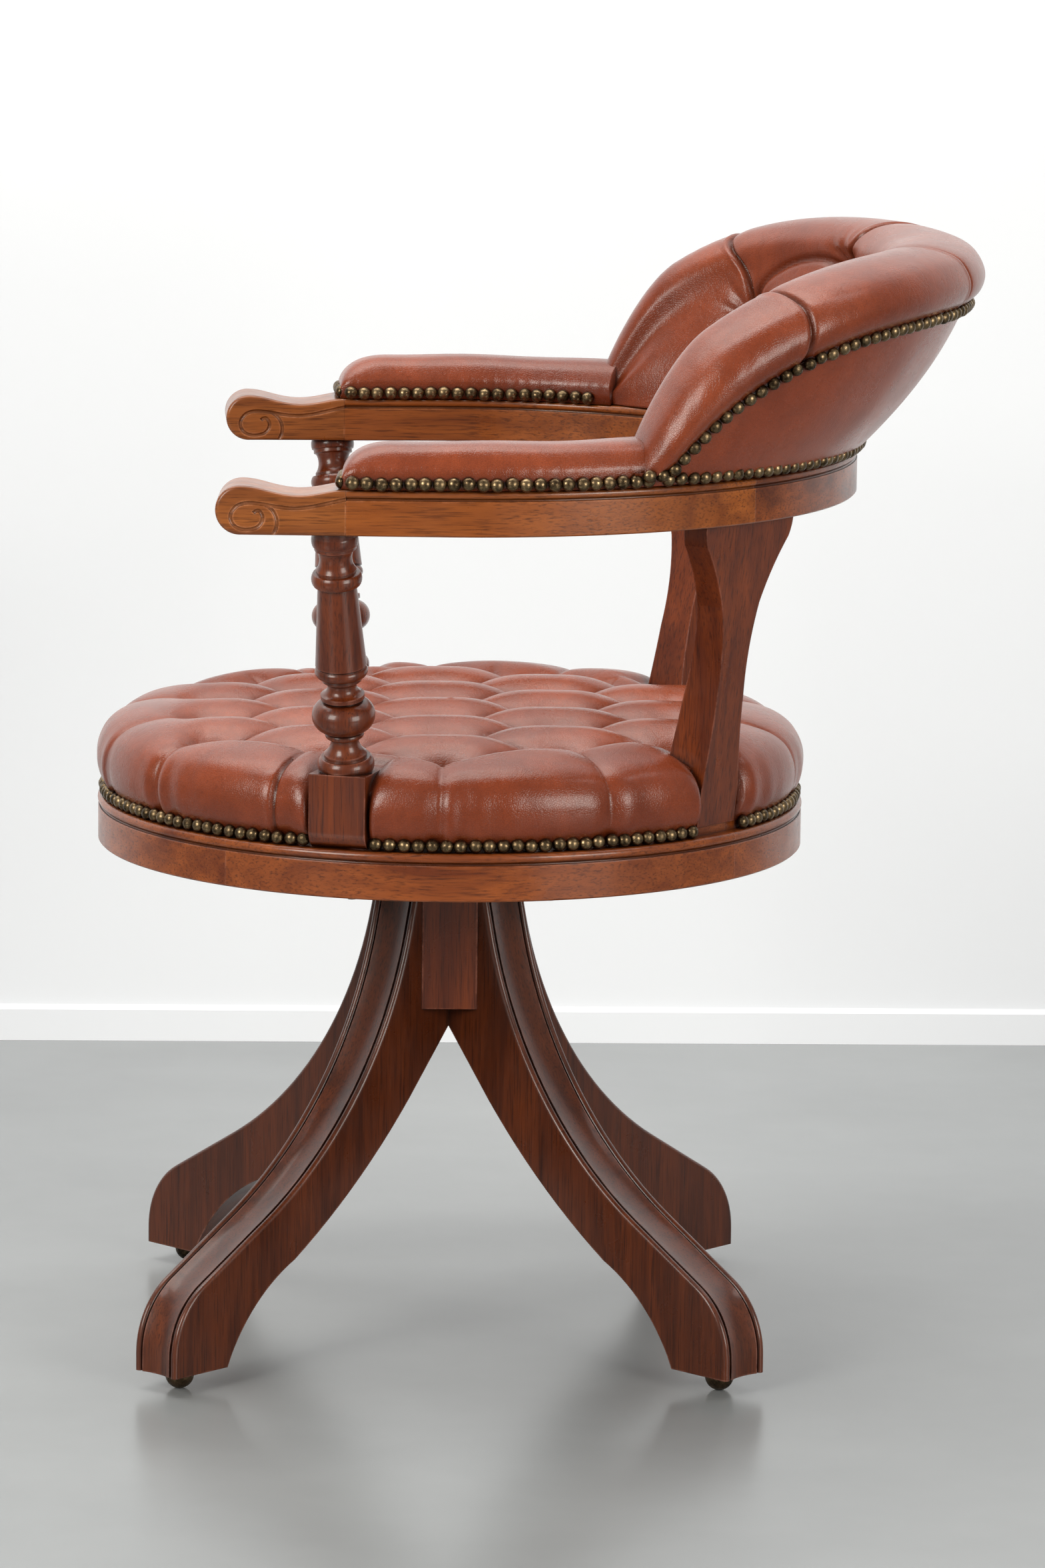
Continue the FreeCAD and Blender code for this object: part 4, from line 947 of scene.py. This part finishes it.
def make_studio():
    """A pale polished floor, a white wall with a skirting, and soft lights."""
    floor = Nodes("floor_concrete")
    clouds = floor.noise(1.6, 5.0, 0.55)
    pale = floor.ramp(clouds, (0.3, 0.0), (0.7, 1.0))
    floor.put(floor.shader, Base_Color=floor.mix(pale, (0.212, 0.224, 0.228), (0.292, 0.307, 0.312)),
              Roughness=floor.ramp(clouds, (0.2, 0.22), (0.8, 0.27)), Specular_IOR_Level=0.55)
    floor.clear_behind()
    wall = Nodes("wall_white")
    wall.put(wall.shader, Base_Color=wall.mix(wall.noise(0.9), (0.80, 0.825, 0.865), (0.84, 0.865, 0.905)),
             Roughness=0.7)
    wall.clear_behind()

    plinth = WALL_X + SKIRTING_THICK
    skirting_top = SKIRTING_HEIGHT + SKIRTING_THICK
    plane("stage_floor", (STAGE_REACH, 0), (WALL_X, 0), floor.material)
    plane("stage_wall", (WALL_X, 0), (WALL_X, WALL_HEIGHT), wall.material)
    plane("stage_skirting", (plinth, 0), (plinth, SKIRTING_HEIGHT), wall.material)
    plane("stage_skirting_top", (plinth, SKIRTING_HEIGHT), (WALL_X, skirting_top), wall.material)
    for lamp in LAMPS:
        make_lamp(*lamp)
    world = bpy.data.worlds.new("studio")
    world.use_nodes = True
    background = world.node_tree.nodes["Background"]
    background.inputs["Color"].default_value = WORLD_COLOUR
    background.inputs["Strength"].default_value = WORLD_STRENGTH
    bpy.context.scene.world = world
    bpy.context.scene.view_settings.view_transform = "Standard"


# The camera: its distance from the swivel axis and height in metres, its angles in radians, and its lens.
CAMERA_DISTANCE, CAMERA_HEIGHT = 5.165, 1.305
CAMERA_AZIMUTH, CAMERA_PITCH, CAMERA_YAW, CAMERA_ROLL = math.radians(1.2), 0.1715, -0.0104, 0.0117
FOCAL_MM, SENSOR_MM = 162.551, 36.0


def make_camera():
    """A long lens from the chair's left, above the seat and looking a little down."""
    camera = bpy.data.cameras.new("camera")
    camera.sensor_fit = "VERTICAL"
    camera.sensor_height = SENSOR_MM
    camera.lens = FOCAL_MM
    camera.clip_end = 60.0
    holder = bpy.data.objects.new("camera", camera)
    level = math.cos(CAMERA_PITCH)
    forward = Vector((-level * math.cos(CAMERA_YAW), -level * math.sin(CAMERA_YAW), -math.sin(CAMERA_PITCH)))
    aim = forward.to_track_quat("-Z", "Y").to_matrix().to_4x4() @ Matrix.Rotation(CAMERA_ROLL, 4, "Z")
    place = Matrix.Translation((CAMERA_DISTANCE, 0, CAMERA_HEIGHT))
    holder.matrix_world = Matrix.Rotation(-CAMERA_AZIMUTH, 4, "Z") @ place @ aim
    bpy.context.scene.collection.objects.link(holder)
    bpy.context.scene.camera = holder


make_camera()
make_studio()
dress_cad()
make_seat()
for hand_side in (1, -1):
    make_arm_pad(hand_side)
make_back_leather()
make_outer_cover()
make_nails()
